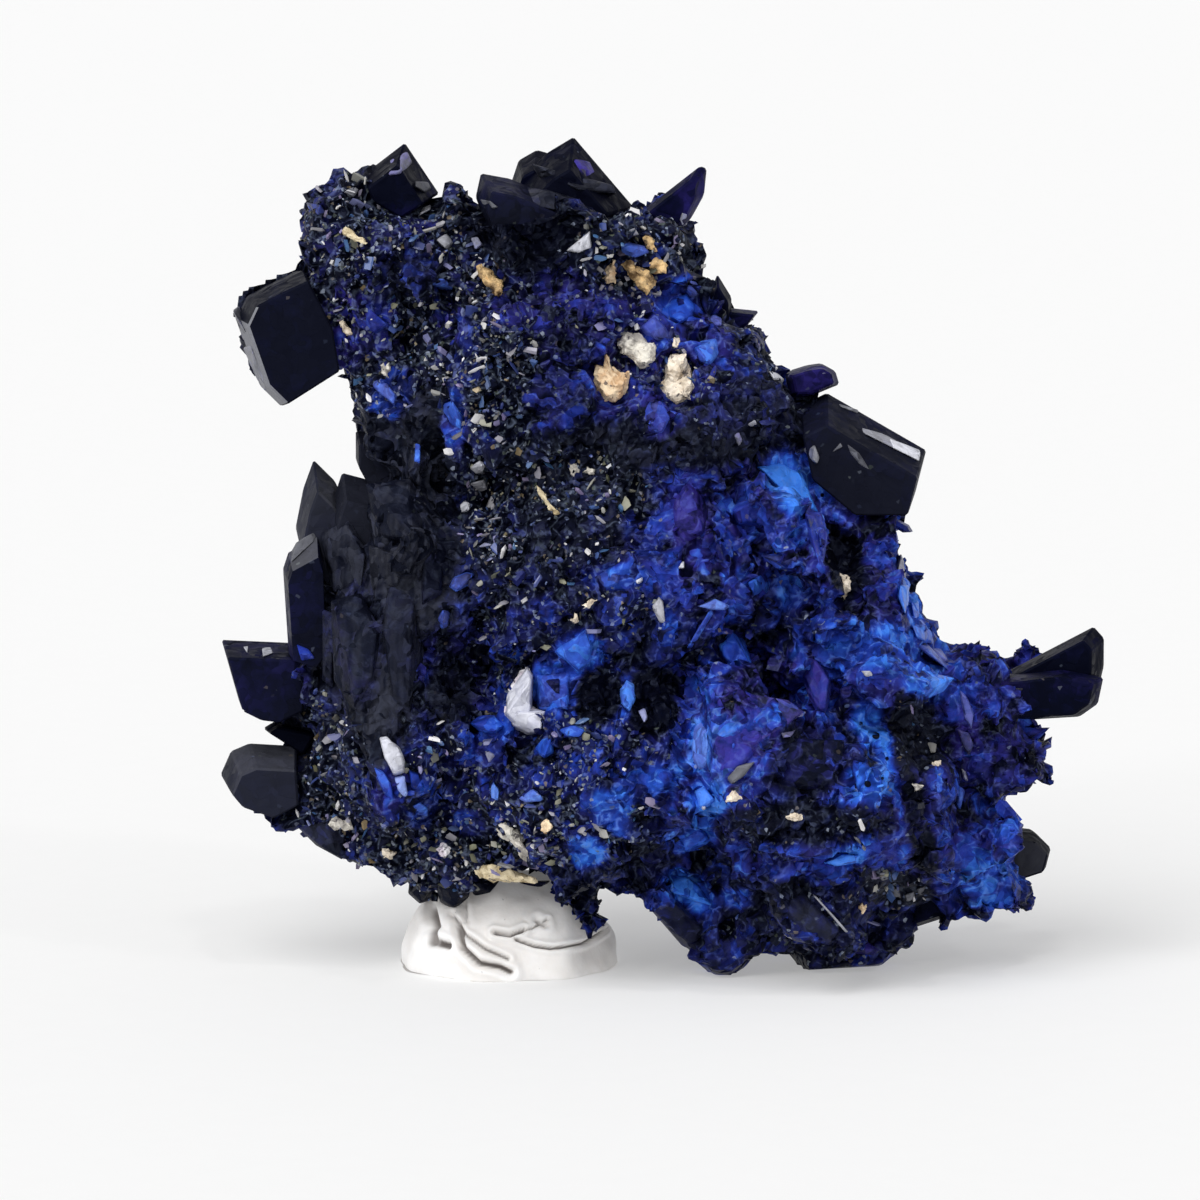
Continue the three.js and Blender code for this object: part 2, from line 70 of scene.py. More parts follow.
# Large crystals, as far as they stay clear of the massive azurite: nearest and farthest y, how much the end faces are
# smaller than the outline, the shift of the front face, the outline as (x, z), and the tone as (azure,
# violet, slate).
CRYSTALS = {
    "corner block": ((-2.6, 1.2), 0.1, (0.3, 0.0), [
        (-16.15, 24.9), (-15.75, 25.75), (-14.6, 26.35), (-13.6, 26.8), (-12.6, 24.8), (-12.3, 23.0),
        (-14.5, 21.6), (-15.3, 22.4)], (-0.02, 0.12, 0.3)),
    "corner tip": ((-1.6, 2.4), 0.25, (-0.2, -0.4), [
        (-9.8, 31.55), (-9.3, 30.8), (-8.5, 29.6), (-9.6, 28.9), (-11.0, 29.7), (-11.3, 30.4),
        (-10.6, 30.9)], (-0.02, 0.25, 0.05)),
    "top left wedge": ((-3.4, 1.6), 0.18, (0.2, -0.3), [
        (-7.1, 29.6), (-6.9, 30.5), (-5.8, 30.3), (-3.7, 29.4), (-3.4, 28.4), (-6.6, 28.2)],
        (-0.05, 0.15, 0.2)),
    "top rear lobe": ((-0.6, 3.2), 0.25, (0.0, -0.3), [
        (-5.9, 29.6), (-5.5, 30.8), (-4.8, 31.2), (-4.1, 31.0), (-3.0, 29.0), (-5.5, 28.6)],
        (0.0, 0.0, 0.0)),
    "top peak": ((-2.2, 2.6), 0.38, (-0.1, -0.3), [
        (-3.4, 31.8), (-2.5, 30.7), (-1.1, 29.1), (-1.6, 27.8), (-5.5, 28.2), (-6.0, 29.6),
        (-4.4, 31.2)], (-0.05, 0.3, 0.1)),
    "spike": ((-0.7, 0.9), 0.3, (-0.2, -0.1), [
        (1.4, 30.7), (1.65, 30.6), (1.55, 29.6), (1.0, 28.6), (0.2, 27.9), (-0.9, 28.9)],
        (0.04, 0.4, 0.0)),
    "shoulder spur": ((-1.0, 0.8), 0.3, (0.0, 0.0), [
        (2.05, 26.6), (2.6, 25.7), (2.6, 24.2), (1.2, 24.4)], (0.15, 0.6, 0.0)),
    "shoulder peg": ((-0.7, 0.9), 0.25, (0.0, 0.0), [
        (2.2, 25.3), (2.9, 25.15), (3.65, 25.15), (3.3, 24.7), (2.4, 23.9)], (0.15, 0.8, 0.0)),
    "violet peg": ((-1.4, 0.6), 0.25, (0.0, 0.1), [
        (4.6, 22.8), (5.4, 23.05), (6.1, 23.15), (6.55, 22.9), (6.7, 22.4), (6.1, 22.2), (5.5, 21.9),
        (4.8, 21.9)], (0.1, 0.55, 0.0)),
    "right block": ((-3.0, 2.4), 0.1, (-0.2, -0.75), [
        (6.2, 22.1), (10.0, 19.9), (9.8, 19.1), (9.6, 18.3), (7.4, 18.3), (5.6, 19.8), (5.2, 21.6)],
        (-0.05, 0.1, 0.25)),
    "arm upper blade": ((-0.6, 2.2), 0.22, (-0.2, 0.0), [
        (12.8, 11.0), (14.2, 11.7), (16.5, 12.95), (16.9, 12.5), (16.9, 11.4), (16.7, 10.5),
        (14.8, 10.1), (12.9, 10.2)], (0.08, 0.3, 0.15)),
    "arm lower blade": ((-2.0, 0.4), 0.2, (-0.1, 0.1), [
        (12.5, 11.2), (15.2, 11.5), (16.8, 11.2), (16.6, 10.2), (15.9, 9.7), (14.7, 9.7),
        (12.7, 9.5)], (0.12, 0.5, 0.1)),
    "rear stub": ((0.8, 3.8), 0.15, (0.0, 0.0), [
        (12.4, 4.9), (14.4, 4.7), (15.0, 4.1), (14.8, 3.3), (13.6, 2.9), (12.2, 3.2)],
        (0.0, 0.0, 1.0)),
    "left dark block": ((-2.6, 2.2), 0.16, (0.3, -0.45), [
        (-16.9, 7.4), (-16.5, 8.3), (-15.8, 8.6), (-14.0, 8.5), (-13.9, 6.9), (-15.0, 6.3),
        (-16.4, 6.8)], (-0.05, 0.0, 0.6)),
    "left shelf": ((-2.2, 2.4), 0.12, (0.1, -0.2), [
        (-16.85, 12.55), (-15.3, 12.5), (-13.4, 12.4), (-13.6, 10.2), (-14.6, 9.7), (-15.4, 9.8),
        (-16.2, 10.2)], (0.0, 0.22, 0.15)),
    "left chip": ((-0.8, 1.2), 0.25, (0.0, 0.0), [
        (-15.3, 9.1), (-14.8, 9.4), (-13.0, 9.0), (-13.6, 8.0)], (0.0, 0.2, 0.2)),
    "left column": ((-3.6, -0.6), 0.12, (0.15, -0.3), [
        (-14.4, 15.6), (-14.2, 16.2), (-13.1, 16.8), (-12.9, 16.1), (-12.8, 12.6), (-13.2, 12.0),
        (-14.2, 12.3), (-14.3, 14.0)], (-0.08, 0.2, 0.12)),
    "left peak": ((-2.2, 2.2), 0.22, (0.1, -0.3), [
        (-13.3, 19.5), (-12.5, 18.7), (-11.0, 15.6), (-11.4, 12.5), (-13.4, 14.1), (-14.0, 16.9),
        (-13.7, 18.4)], (0.0, 0.1, 0.7)),
    "left second peak": ((-3.2, 1.6), 0.2, (0.0, -0.2), [
        (-12.2, 19.1), (-10.7, 18.7), (-9.4, 15.6), (-10.2, 11.8), (-12.1, 13.3), (-12.6, 17.9)],
        (0.0, 0.0, 0.7)),
    "notch wall": ((-1.6, 1.6), 0.2, (0.0, -0.1), [
        (-11.7, 20.6), (-11.7, 19.5), (-11.05, 19.15), (-11.0, 18.2), (-10.0, 17.6), (-9.8, 20.4)],
        (0.0, 0.1, 0.6)),
    "foot web": ((-1.6, 1.0), 0.3, (0.0, 0.1), [
        (8.4, 3.6), (10.8, 4.0), (12.0, 3.0), (11.2, 1.95), (9.6, 1.5), (8.6, 1.1)], (0.05, 0.4, 0.1)),
    "back slab": ((5.4, 9.6), 0.25, (0.0, 0.0), [
        (-5.4, 11.8), (-1.4, 13.2), (0.8, 9.6), (-1.2, 5.6), (-4.8, 6.8)], (0.2, 0.3, 0.1)),
    "back wall": ((4.6, 8.8), 0.25, (0.0, 0.0), [
        (-3.6, 19.8), (0.4, 20.4), (3.2, 16.2), (1.2, 12.8), (-3.2, 14.2)], (0.05, 0.1, 0.6)),
    "back fin": ((3.6, 7.4), 0.3, (0.0, 0.0), [
        (-8.6, 25.6), (-5.2, 27.2), (-3.0, 23.4), (-5.8, 19.8), (-8.4, 21.4)], (0.0, 0.1, 0.7)),
}

# Faces of large crystals that catch the light: a direction, and how pale the faces that look that way are.
LIT_FACES = {
    "corner block": ((-0.80, -0.55, -0.25), 0.3),
    "rear stub": ((0.00, -1.00, 0.20), 0.05),
    "left dark block": ((-0.35, -0.55, 0.75), 0.04),
    "left column": ((-0.35, -0.55, 0.75), 0.10),
    "left peak": ((0.55, -0.55, 0.60), 0.03),
}

# Small crystals that stand out in the display side: seen outline (u, w), how far the crystal stands out of the surface
# there, and its tone as (azure, violet, slate, pale). Pale is the own colour of white crystals; on glints, sheens and
# lit edges it is a painted highlight.
FACE_CRYSTALS = {
    # upper left
    # Painted highlights: the pale of the corner bevel and the corner glint is light caught by the corner block's left
    # bevel.
    "corner bevel highlight": ([(-15.95, 23.5), (-15.6, 23.6), (-14.95, 22.1), (-15.1, 21.85), (-15.4, 22.3)],
                     0.05, (0, 0.3, 0, 0.3)),
    "corner glint": ([(-16.3, 24.9), (-16.1, 25.1), (-15.75, 24.0), (-15.95, 23.8)], 0.05, (0, 0.5, 0, 0.12)),
    "tip sheen": ([(-10.6, 30.3), (-10.3, 30.6), (-9.7, 30.9), (-9.5, 30.5), (-9.9, 29.95), (-10.4, 29.9)],
                  0.15, (0.3, 0.9, 0, 0.22)),
    "corner flake": ([(-9.3, 28.4), (-9.1, 28.8), (-8.8, 28.95), (-8.8, 28.7)], 0.3, (0, 0, 0, 1)),
    "grey knob": ([(-9.4, 29.75), (-8.9, 29.8), (-8.75, 29.5), (-9.0, 29.3), (-9.4, 29.5)],
                  0.3, (0, 0, 1, 0.15)),
    "curl": ([(-12.1, 29.3), (-11.6, 29.7), (-11.5, 29.4), (-11.7, 29.1)], 0.25, (0, 0.1, 0.6, 0.3)),
    "teal corner": ([(-13.5, 28.95), (-12.9, 28.8), (-12.7, 28.5), (-13.0, 28.4), (-13.4, 28.7)],
                    0.2, (0.45, 0, 0.3, 0.06)),
    "lilac chip": ([(-8.6, 27.5), (-8.2, 27.8), (-7.9, 27.4), (-8.2, 27.1)], 0.3, (0, 0.3, 0, 0.6)),
    "blue chip": ([(-7.3, 27.6), (-7.0, 27.65), (-6.8, 27.3), (-7.1, 27.1)], 0.3, (0.6, 0.2, 0, 0.4)),
    "teal run": ([(-11.0, 22.3), (-10.4, 22.1), (-10.0, 21.6), (-10.1, 21.2), (-10.6, 21.6), (-11.0, 22.0)],
                 0.25, (0.72, 0, 0.1, 0.08)),
    "blue fold": ([(-8.3, 21.3), (-7.9, 21.4), (-7.5, 20.8), (-7.6, 20.3), (-8.0, 20.5), (-8.3, 21.0)],
                  0.3, (0.78, 0.3, 0, 0.03)),
    "navy curve": ([(-11.8, 24.7), (-11.0, 24.9), (-10.3, 24.3), (-10.8, 23.9), (-11.5, 24.2)],
                   0.3, (0.55, 0.4, 0, 0)),
    "blue bar": ([(-9.0, 26.0), (-8.2, 26.0), (-7.9, 25.6), (-8.3, 25.6), (-8.9, 25.8)], 0.2, (0.7, 0, 0, 0.08)),
    "left slab": ([(-9.35, 19.9), (-9.15, 19.8), (-9.15, 19.0), (-9.4, 19.1)], 0.2, (0.7, 0.1, 0, 0.03)),
    "nub": ([(-7.3, 18.9), (-6.9, 19.2), (-6.7, 19.0), (-6.8, 18.7), (-7.1, 18.65)], 0.35, (0, 0, 0, 0.75)),
    "low nub": ([(-7.3, 18.3), (-7.0, 18.4), (-6.7, 18.5), (-6.6, 18.1), (-6.9, 18.0)], 0.3, (0, 0, 0, 0.5)),
    "white bead": ([(-7.7, 17.5), (-7.5, 17.7), (-7.3, 17.6), (-7.3, 17.3), (-7.6, 17.2)], 0.35, (0, 0, 0, 0.95)),
    "shard": ([(-7.0, 15.9), (-6.7, 16.1), (-6.4, 16.0), (-6.7, 15.9)], 0.2, (0.3, 0, 0, 0.5)),
    "blue bean": ([(-8.1, 14.4), (-7.9, 14.8), (-7.4, 15.0), (-7.1, 14.9), (-7.3, 14.5), (-7.8, 14.2)],
                  0.35, (0.5, 0, 0.2, 0.05)),
    "blue bead": ([(-8.5, 13.2), (-8.3, 13.6), (-8.0, 13.5), (-8.1, 12.9), (-8.4, 12.8)], 0.25, (0.45, 0, 0, 0.06)),
    # top
    # Painted highlight: a bright reflection on a facet.
    "bright glint": ([(-3.7, 27.0), (-3.2, 27.3), (-2.75, 27.75), (-2.7, 27.1), (-3.2, 26.9)],
                     0.4, (0, 0, 0, 1)),
    "upper ledge": ([(-5.0, 30.4), (-4.5, 30.2), (-2.9, 29.8), (-1.9, 29.6), (-1.8, 29.3), (-3.2, 29.3),
                     (-4.7, 29.9)], 0.25, (0, 0, 0.7, 0.01)),
    "purple pane": ([(-4.1, 30.3), (-3.4, 30.6), (-2.8, 30.5), (-2.6, 30.1), (-2.9, 29.85), (-3.9, 30.0)],
                    0.1, (0.12, 0.9, 0, 0)),
    "mauve ledge": ([(-5.2, 29.5), (-4.4, 29.4), (-3.1, 29.0), (-2.9, 28.3), (-4.4, 28.6), (-5.3, 28.7)],
                    0.4, (0, 0.15, 0.7, 0.005)),
    "wedge lip": ([(-6.9, 29.0), (-6.5, 28.9), (-6.2, 28.65), (-6.4, 28.6), (-6.8, 28.8)], 0.2, (0, 0, 1, 0.2)),
    "teal oval": ([(0.6, 28.3), (0.7, 28.6), (0.9, 28.55), (0.9, 28.2), (0.7, 28.1)], 0.2, (0.3, 0, 0, 0.4)),
    "blue top": ([(-1.6, 27.3), (-1.3, 27.4), (-0.6, 27.2), (-0.5, 26.95), (-1.1, 26.75), (-1.6, 26.9)],
                 0.3, (0.6, 0.1, 0, 0.08)),
    "small white": ([(-1.35, 27.75), (-1.1, 27.85), (-0.95, 27.65), (-1.15, 27.6)], 0.25, (0, 0, 0, 0.7)),
    "top azure": ([(0.1, 24.9), (0.3, 25.3), (0.9, 25.5), (1.2, 25.1), (1.1, 24.6), (0.6, 24.3), (0.2, 24.5)],
                  0.2, (0.5, 0.1, 0, 0)),
    "top azure tail": ([(0.8, 25.6), (1.0, 26.0), (1.3, 25.9), (1.3, 25.4), (1.0, 25.3)], 0.2, (0.6, 0, 0, 0.08)),
    "lavender": ([(1.6, 24.5), (1.9, 24.75), (2.2, 24.6), (2.2, 24.25), (1.8, 24.15)], 0.3, (0.6, 0.7, 0, 0.1)),
    "shoulder blue": ([(1.1, 23.4), (1.4, 23.7), (2.0, 23.8), (2.1, 23.2), (1.7, 22.7), (1.3, 22.8)],
                      0.3, (0.78, 0.4, 0, 0.02)),
    "halo": ([(-0.9, 24.2), (-0.4, 24.6), (0.1, 24.2), (0.3, 23.7), (-0.2, 23.6), (-0.8, 23.9)],
             0.25, (0.7, 0.5, 0, 0.04)),
    "halo foot": ([(-0.9, 20.9), (-0.5, 21.5), (0.0, 21.3), (0.3, 20.7), (-0.1, 20.1), (-0.6, 20.2)],
                  0.25, (0.48, 0.5, 0.1, 0.02)),
    "pink dot": ([(-0.3, 25.5), (-0.15, 25.65), (-0.05, 25.5), (-0.15, 25.35)], 0.25, (0, 0.6, 0, 0.7)),
    # right
    "white chip": ([(3.9, 22.6), (4.3, 22.55), (4.6, 22.3), (4.5, 22.15), (4.1, 22.25)], 0.3, (0, 0, 0, 0.9)),
    "grey chip": ([(3.1, 20.5), (3.4, 20.7), (3.5, 20.5), (3.25, 20.4)], 0.2, (0.1, 0, 0, 0.5)),
    "violet chip": ([(2.6, 20.1), (2.8, 20.25), (2.95, 19.9), (2.8, 19.65)], 0.25, (0.3, 1, 0, 0.25)),
    "pale chip": ([(5.25, 19.65), (5.7, 19.8), (5.9, 19.3), (5.8, 19.05), (5.6, 19.15)], 0.3, (0.2, 0.3, 0, 0.5)),
    # Painted highlights: the pale strip along the top of the right block and the strip glint are light caught by its
    # top edge.
    "block strip highlight": ([(7.4, 20.5), (8.6, 20.2), (9.8, 19.65), (9.7, 19.15), (8.7, 19.65), (7.5, 20.25)],
                    0.12, (0, 0.1, 0, 0.45)),
    "strip glint": ([(8.5, 20.1), (9.85, 19.62), (9.72, 19.15), (8.6, 19.7)], 0.2, (0, 0, 0, 1)),
    "block fleck": ([(6.85, 19.9), (7.4, 19.5), (7.85, 18.75), (7.4, 19.0), (7.0, 19.5)], 0.05, (0, 0, 1, 0.13)),
    "block line": ([(6.3, 19.45), (6.7, 19.65), (7.2, 20.3), (7.1, 20.3), (6.6, 19.8)], 0.05, (0, 0.1, 0.6, 0.22)),
    # Painted highlight: a grey band of light along the top edge of the right block.
    "block edge highlight": ([(6.6, 21.4), (7.4, 21.15), (7.4, 21.0), (6.7, 21.25)], 0.05, (0, 0, 1, 0.3)),
    "peg sheen": ([(5.85, 22.7), (6.1, 22.8), (6.2, 22.5), (6.0, 22.45)], 0.04, (0.3, 0.8, 0, 0.2)),
    "azure plate": ([(3.4, 19.0), (4.5, 19.1), (5.2, 18.8), (5.45, 18.2), (5.9, 17.2), (5.1, 17.3), (4.3, 18.1)],
                    0.4, (1.0, 0, 0, 0)),
    "plate tail": ([(5.2, 17.2), (5.85, 17.2), (6.1, 16.4), (6.0, 15.6), (5.85, 14.8), (5.6, 15.6), (5.3, 16.4)],
                   0.35, (0.55, 0.5, 0, 0)),
    "middle plate": ([(2.5, 17.3), (2.9, 17.9), (3.6, 17.8), (4.1, 17.4), (4.2, 17.0), (3.6, 16.6), (2.7, 16.7)],
                     0.4, (0.52, 0.4, 0, 0)),
    "violet mound": ([(0.3, 17.5), (0.8, 18.3), (1.3, 18.1), (1.7, 17.2), (1.5, 16.4), (0.7, 16.0), (0.3, 16.6)],
                     0.2, (0.36, 0.6, 0, 0)),
    "blue block": ([(3.1, 14.6), (3.6, 14.9), (4.0, 14.6), (3.9, 14.2), (3.3, 14.05)], 0.3, (0.82, 0, 0, 0.02)),
    "crescent": ([(3.6, 15.6), (4.0, 15.65), (4.5, 15.3), (4.95, 15.65), (4.7, 15.2), (4.2, 15.1)],
                 0.25, (0.6, 0.1, 0, 0.02)),
    "slope pale": ([(8.95, 15.5), (9.1, 15.7), (9.3, 15.2), (9.3, 14.7), (9.0, 14.6), (8.9, 15.1)],
                   0.3, (0.1, 0.4, 0.2, 0.5)),
    "slope blue": ([(8.9, 14.5), (9.3, 14.5), (9.3, 13.9), (9.1, 13.3), (8.8, 14.0)], 0.3, (0.88, 0, 0, 0.05)),
    "slope azure": ([(9.4, 13.9), (9.75, 13.9), (9.75, 13.3), (9.5, 13.1)], 0.3, (0.92, 0, 0, 0.04)),
    "ridge azure": ([(9.3, 13.0), (9.8, 13.2), (10.2, 12.7), (10.2, 12.3), (9.9, 12.3), (9.5, 12.5)],
                    0.3, (0.8, 0.1, 0, 0.03)),
    "ridge line": ([(9.0, 12.9), (10.0, 12.3), (10.8, 11.5), (10.9, 11.2), (9.8, 12.1), (9.0, 12.6)],
                   0.3, (0.7, 0.2, 0, 0.08)),
    "ridge lilac": ([(10.2, 12.1), (10.6, 12.1), (10.9, 11.6), (10.6, 11.4), (10.3, 11.8)],
                    0.3, (0.7, 0.5, 0, 0.15)),
    "ridge middle": ([(11.2, 10.6), (11.5, 10.3), (11.8, 9.6), (11.7, 9.0), (11.4, 9.4), (11.3, 10.0)],
                     0.3, (0.55, 0.7, 0, 0.12)),
    "ridge low": ([(11.1, 9.1), (11.6, 8.9), (11.8, 8.4), (11.6, 7.9), (11.3, 8.5)], 0.3, (0.5, 0.8, 0, 0.08)),
    "ridge drop": ([(11.3, 7.6), (11.5, 7.4), (11.6, 7.0), (11.4, 7.1)], 0.25, (0.2, 0.6, 0, 0.35)),
    "ridge end": ([(11.2, 6.9), (11.5, 6.7), (11.3, 5.9), (11.1, 6.1)], 0.25, (0.72, 0.3, 0, 0.06)),
    "cyan corner": ([(9.3, 10.9), (10.0, 11.2), (10.9, 11.0), (10.5, 10.5), (9.8, 10.2), (9.6, 10.4)],
                    0.25, (0.82, 0, 0, 0.02)),
    "cyan dot": ([(9.6, 10.2), (9.85, 10.2), (9.8, 9.9), (9.65, 9.9)], 0.25, (1, 0, 0, 0.15)),
    "violet oval": ([(2.0, 12.3), (2.5, 12.8), (3.0, 12.5), (3.2, 12.0), (3.3, 11.5), (3.0, 11.3), (2.6, 11.35),
                     (2.1, 11.8)], 0.35, (0.78, 0.1, 0, 0)),
    "violet leaf": ([(5.2, 11.1), (5.6, 11.8), (5.9, 11.5), (6.25, 11.0), (6.3, 10.4), (6.05, 9.65), (5.8, 9.6),
                     (5.5, 10.1)], 0.4, (0.5, 1, 0, 0.01)),
    "leaf side": ([(6.6, 10.6), (7.1, 10.8), (7.0, 10.3), (6.6, 10.1)], 0.25, (0.5, 0.8, 0, 0.03)),
    "ivory sliver": ([(7.3, 11.3), (7.7, 11.3), (7.8, 11.1), (7.5, 11.05)], 0.25, (0, 0, 0, 0.8)),
    "violet slab": ([(1.9, 10.3), (2.6, 10.7), (3.6, 10.3), (3.7, 8.8), (2.9, 7.6), (2.0, 7.3), (1.75, 8.6)],
                    0.15, (0.42, 0.8, 0, 0)),
    "lilac slab": ([(3.4, 10.4), (4.6, 10.2), (5.2, 9.75), (4.3, 9.1), (3.5, 8.6)], 0.15, (0.36, 1, 0, 0.03)),
    # Painted highlights: light caught on the edge and corner of the lilac slab.
    "slab highlight": ([(4.4, 9.65), (5.3, 9.75), (5.2, 9.6), (4.6, 9.5)], 0.3, (0.5, 0.6, 0, 0.4)),
    "slab corner highlight": ([(4.3, 9.0), (4.9, 9.1), (4.7, 8.85), (4.4, 8.8)], 0.3, (0.4, 0.9, 0, 0.2)),
    "tan edge": ([(2.3, 7.3), (2.7, 7.8), (3.4, 7.95), (3.0, 7.4), (2.5, 7.05)], 0.3, (0, 0.1, 1, 0.2)),
    "cyan edge": ([(1.1, 9.2), (1.4, 9.4), (1.6, 9.1), (1.7, 8.5), (1.6, 7.7), (1.3, 7.5), (1.05, 7.9),
                   (1.0, 8.5)], 0.35, (0.9, 0, 0, 0.12)),
    "cyan low": ([(1.1, 6.8), (1.5, 7.0), (1.9, 6.5), (1.7, 6.2), (1.3, 6.1)], 0.3, (0.88, 0, 0, 0.04)),
    "white dot": ([(1.35, 6.2), (1.5, 6.3), (1.6, 6.15), (1.45, 6.05)], 0.45, (0.4, 0, 0, 0.8)),
    "dark slab": ([(3.6, 8.2), (4.5, 8.8), (6.7, 8.7), (6.8, 7.3), (5.6, 6.8), (4.3, 7.0)],
                  0.15, (0.2, 0.2, 0.1, 0)),
    # middle and lower left
    "white upper": ([(-5.1, 11.5), (-4.9, 11.1), (-4.95, 10.2), (-4.95, 9.1), (-5.5, 9.0), (-6.0, 9.6),
                     (-5.9, 10.4), (-5.5, 11.0)], 0.9, (0.3, 0.3, 0, 0.95)),
    "white lower": ([(-5.7, 9.8), (-5.1, 9.95), (-4.4, 9.75), (-4.5, 9.0), (-5.1, 8.85), (-5.7, 9.2)],
                    0.85, (0.3, 0.3, 0, 0.95)),
    "blue square": ([(-4.85, 11.2), (-3.5, 11.25), (-3.55, 9.8), (-4.75, 9.7)], 0.5, (0.8, 0.1, 0, 0.02)),
    "square pane": ([(-4.65, 11.0), (-3.85, 11.05), (-3.85, 10.35), (-4.6, 10.3)], 0.62, (0.3, 0.25, 0, 0)),
    "blue triangle": ([(-4.2, 12.0), (-3.5, 12.2), (-2.9, 12.9), (-2.65, 12.2), (-2.75, 11.5), (-3.2, 11.2)],
                      0.45, (0.74, 0, 0, 0.02)),
    "blue bowl": ([(-7.3, 9.3), (-6.9, 9.6), (-6.3, 9.6), (-5.95, 9.2), (-6.3, 8.9), (-6.9, 8.95)],
                  0.35, (0.66, 0.2, 0, 0)),
    "lavender chip": ([(-6.8, 8.7), (-6.2, 8.75), (-6.3, 8.1), (-6.55, 7.8), (-6.7, 8.2)],
                      0.3, (0.4, 0.4, 0, 0.35)),
    "azure bead": ([(-6.6, 7.0), (-6.4, 7.15), (-6.15, 6.8), (-6.2, 6.4), (-6.5, 6.4)], 0.3, (0.9, 0, 0, 0.12)),
    "azure chip": ([(-5.5, 6.5), (-4.9, 6.9), (-4.5, 6.6), (-4.5, 6.4), (-5.2, 6.35)], 0.3, (0.85, 0, 0, 0.12)),
    # The white of the pale blade is a painted reflection on a crystal blade.
    "pale blade": ([(-10.7, 8.8), (-10.4, 8.85), (-9.9, 8.4), (-9.7, 7.9), (-9.7, 7.4), (-10.15, 7.3),
                    (-10.5, 8.0)], 0.55, (0.3, 0, 0, 1.0)),
    "blade end": ([(-10.15, 7.3), (-9.7, 7.4), (-9.6, 6.6), (-9.75, 6.5), (-10.0, 6.8)], 0.55, (0.8, 0, 0, 0.4)),
    "blade foot": ([(-10.9, 7.7), (-10.5, 7.5), (-10.2, 7.0), (-10.1, 6.3), (-10.5, 6.6), (-10.8, 7.2)],
                   0.3, (0.58, 0.6, 0, 0)),
    "blade side": ([(-9.6, 7.6), (-9.2, 7.4), (-9.0, 6.9), (-9.2, 6.5), (-9.5, 6.9)], 0.3, (0.62, 0, 0, 0)),
    "bright foot": ([(-9.5, 6.2), (-9.2, 6.35), (-8.9, 6.1), (-8.9, 5.7), (-9.3, 5.8)], 0.3, (0.95, 0, 0, 0.06)),
    "middle bead": ([(-1.7, 10.6), (-1.4, 11.0), (-1.1, 10.8), (-1.05, 10.2), (-1.3, 9.7), (-1.6, 10.0)],
                    0.35, (0.85, 0, 0, 0.05)),
    "bead tail": ([(-1.0, 9.8), (-0.7, 9.9), (-0.6, 9.5), (-0.75, 9.3)], 0.3, (0.5, 0.3, 0, 0.45)),
    "small shelf": ([(-4.0, 9.1), (-3.4, 9.3), (-2.9, 9.1), (-3.1, 8.8), (-3.7, 8.8)], 0.3, (0.75, 0, 0, 0.02)),
    "under square": ([(-4.9, 8.8), (-4.2, 8.8), (-4.1, 8.2), (-4.5, 8.0), (-4.9, 8.3)], 0.3, (0.66, 0.1, 0, 0)),
    "white comma": ([(-0.5, 13.7), (-0.2, 14.1), (-0.05, 13.9), (-0.15, 13.4), (0.05, 13.05), (-0.15, 13.05)],
                    0.3, (0, 0, 0, 0.75)),
    "cyan star": ([(1.2, 13.7), (1.7, 13.75), (1.9, 14.0), (2.0, 13.8), (2.5, 13.7), (2.3, 13.55), (1.7, 13.55)],
                  0.3, (0.8, 0, 0, 0.15)),
    "vein": ([(1.7, 13.6), (1.9, 13.5), (1.5, 12.9), (1.0, 12.0), (0.8, 12.1), (1.3, 12.9)], 0.2, (0.66, 0.3, 0, 0.02)),
    "white tooth": ([(0.5, 15.1), (0.75, 15.1), (0.75, 15.4), (0.65, 15.35)], 0.3, (0, 0, 0, 1)),
    "white flake": ([(-1.1, 14.65), (-0.8, 14.8), (-0.8, 14.6), (-1.0, 14.5)], 0.3, (0, 0, 0, 1)),
    "blue cloud": ([(-2.6, 14.8), (-2.2, 15.1), (-1.6, 14.9), (-1.7, 14.5), (-2.2, 14.3)], 0.2, (0.62, 0, 0.1, 0.03)),
    # foot
    "hanging left": ([(-9.7, 3.2), (-9.75, 2.7), (-9.3, 2.3), (-8.7, 2.5), (-8.5, 3.3)], 0.25, (-0.05, 0.1, 0.2, 0)),
    "hanging tip": ([(-8.7, 3.2), (-8.5, 2.4), (-7.95, 2.1), (-7.4, 2.6), (-7.3, 3.3)], 0.3, (-0.05, 0.1, 0.3, 0)),
    "hanging middle": ([(-7.4, 3.25), (-7.2, 2.6), (-6.4, 2.65), (-5.9, 3.25)], 0.25, (-0.05, 0.3, 0.1, 0)),
    "hanging right": ([(-6.1, 3.2), (-5.8, 2.75), (-4.7, 2.8), (-4.3, 3.2)], 0.25, (0.0, 0.2, 0.2, 0)),
    "rim lobe": ([(-13.9, 5.3), (-13.2, 4.6), (-12.2, 4.05), (-11.9, 4.9), (-12.8, 5.6)], 0.2, (0.0, 0.1, 0.5, 0)),
    "foot lobe": ([(-0.7, 2.45), (0.1, 1.7), (0.7, 0.8), (1.3, 0.5), (1.6, 1.5), (0.4, 2.6)], 0.2, (0.05, 0.1, 0.3, 0)),
    "foot azure": ([(0.0, 3.2), (0.3, 3.5), (0.9, 3.5), (1.4, 3.1), (1.9, 2.3), (1.4, 2.4), (0.2, 2.9)],
                   0.35, (0.9, 0, 0, 0)),
    "foot blue": ([(0.2, 5.1), (0.7, 5.6), (1.5, 5.3), (1.8, 4.9), (1.6, 4.5), (0.8, 4.4)], 0.3, (0.6, 0.1, 0, 0)),
    "foot bar": ([(5.9, 4.1), (6.6, 4.5), (7.4, 4.4), (7.3, 4.1), (6.4, 3.95)], 0.3, (0.85, 0, 0, 0.02)),
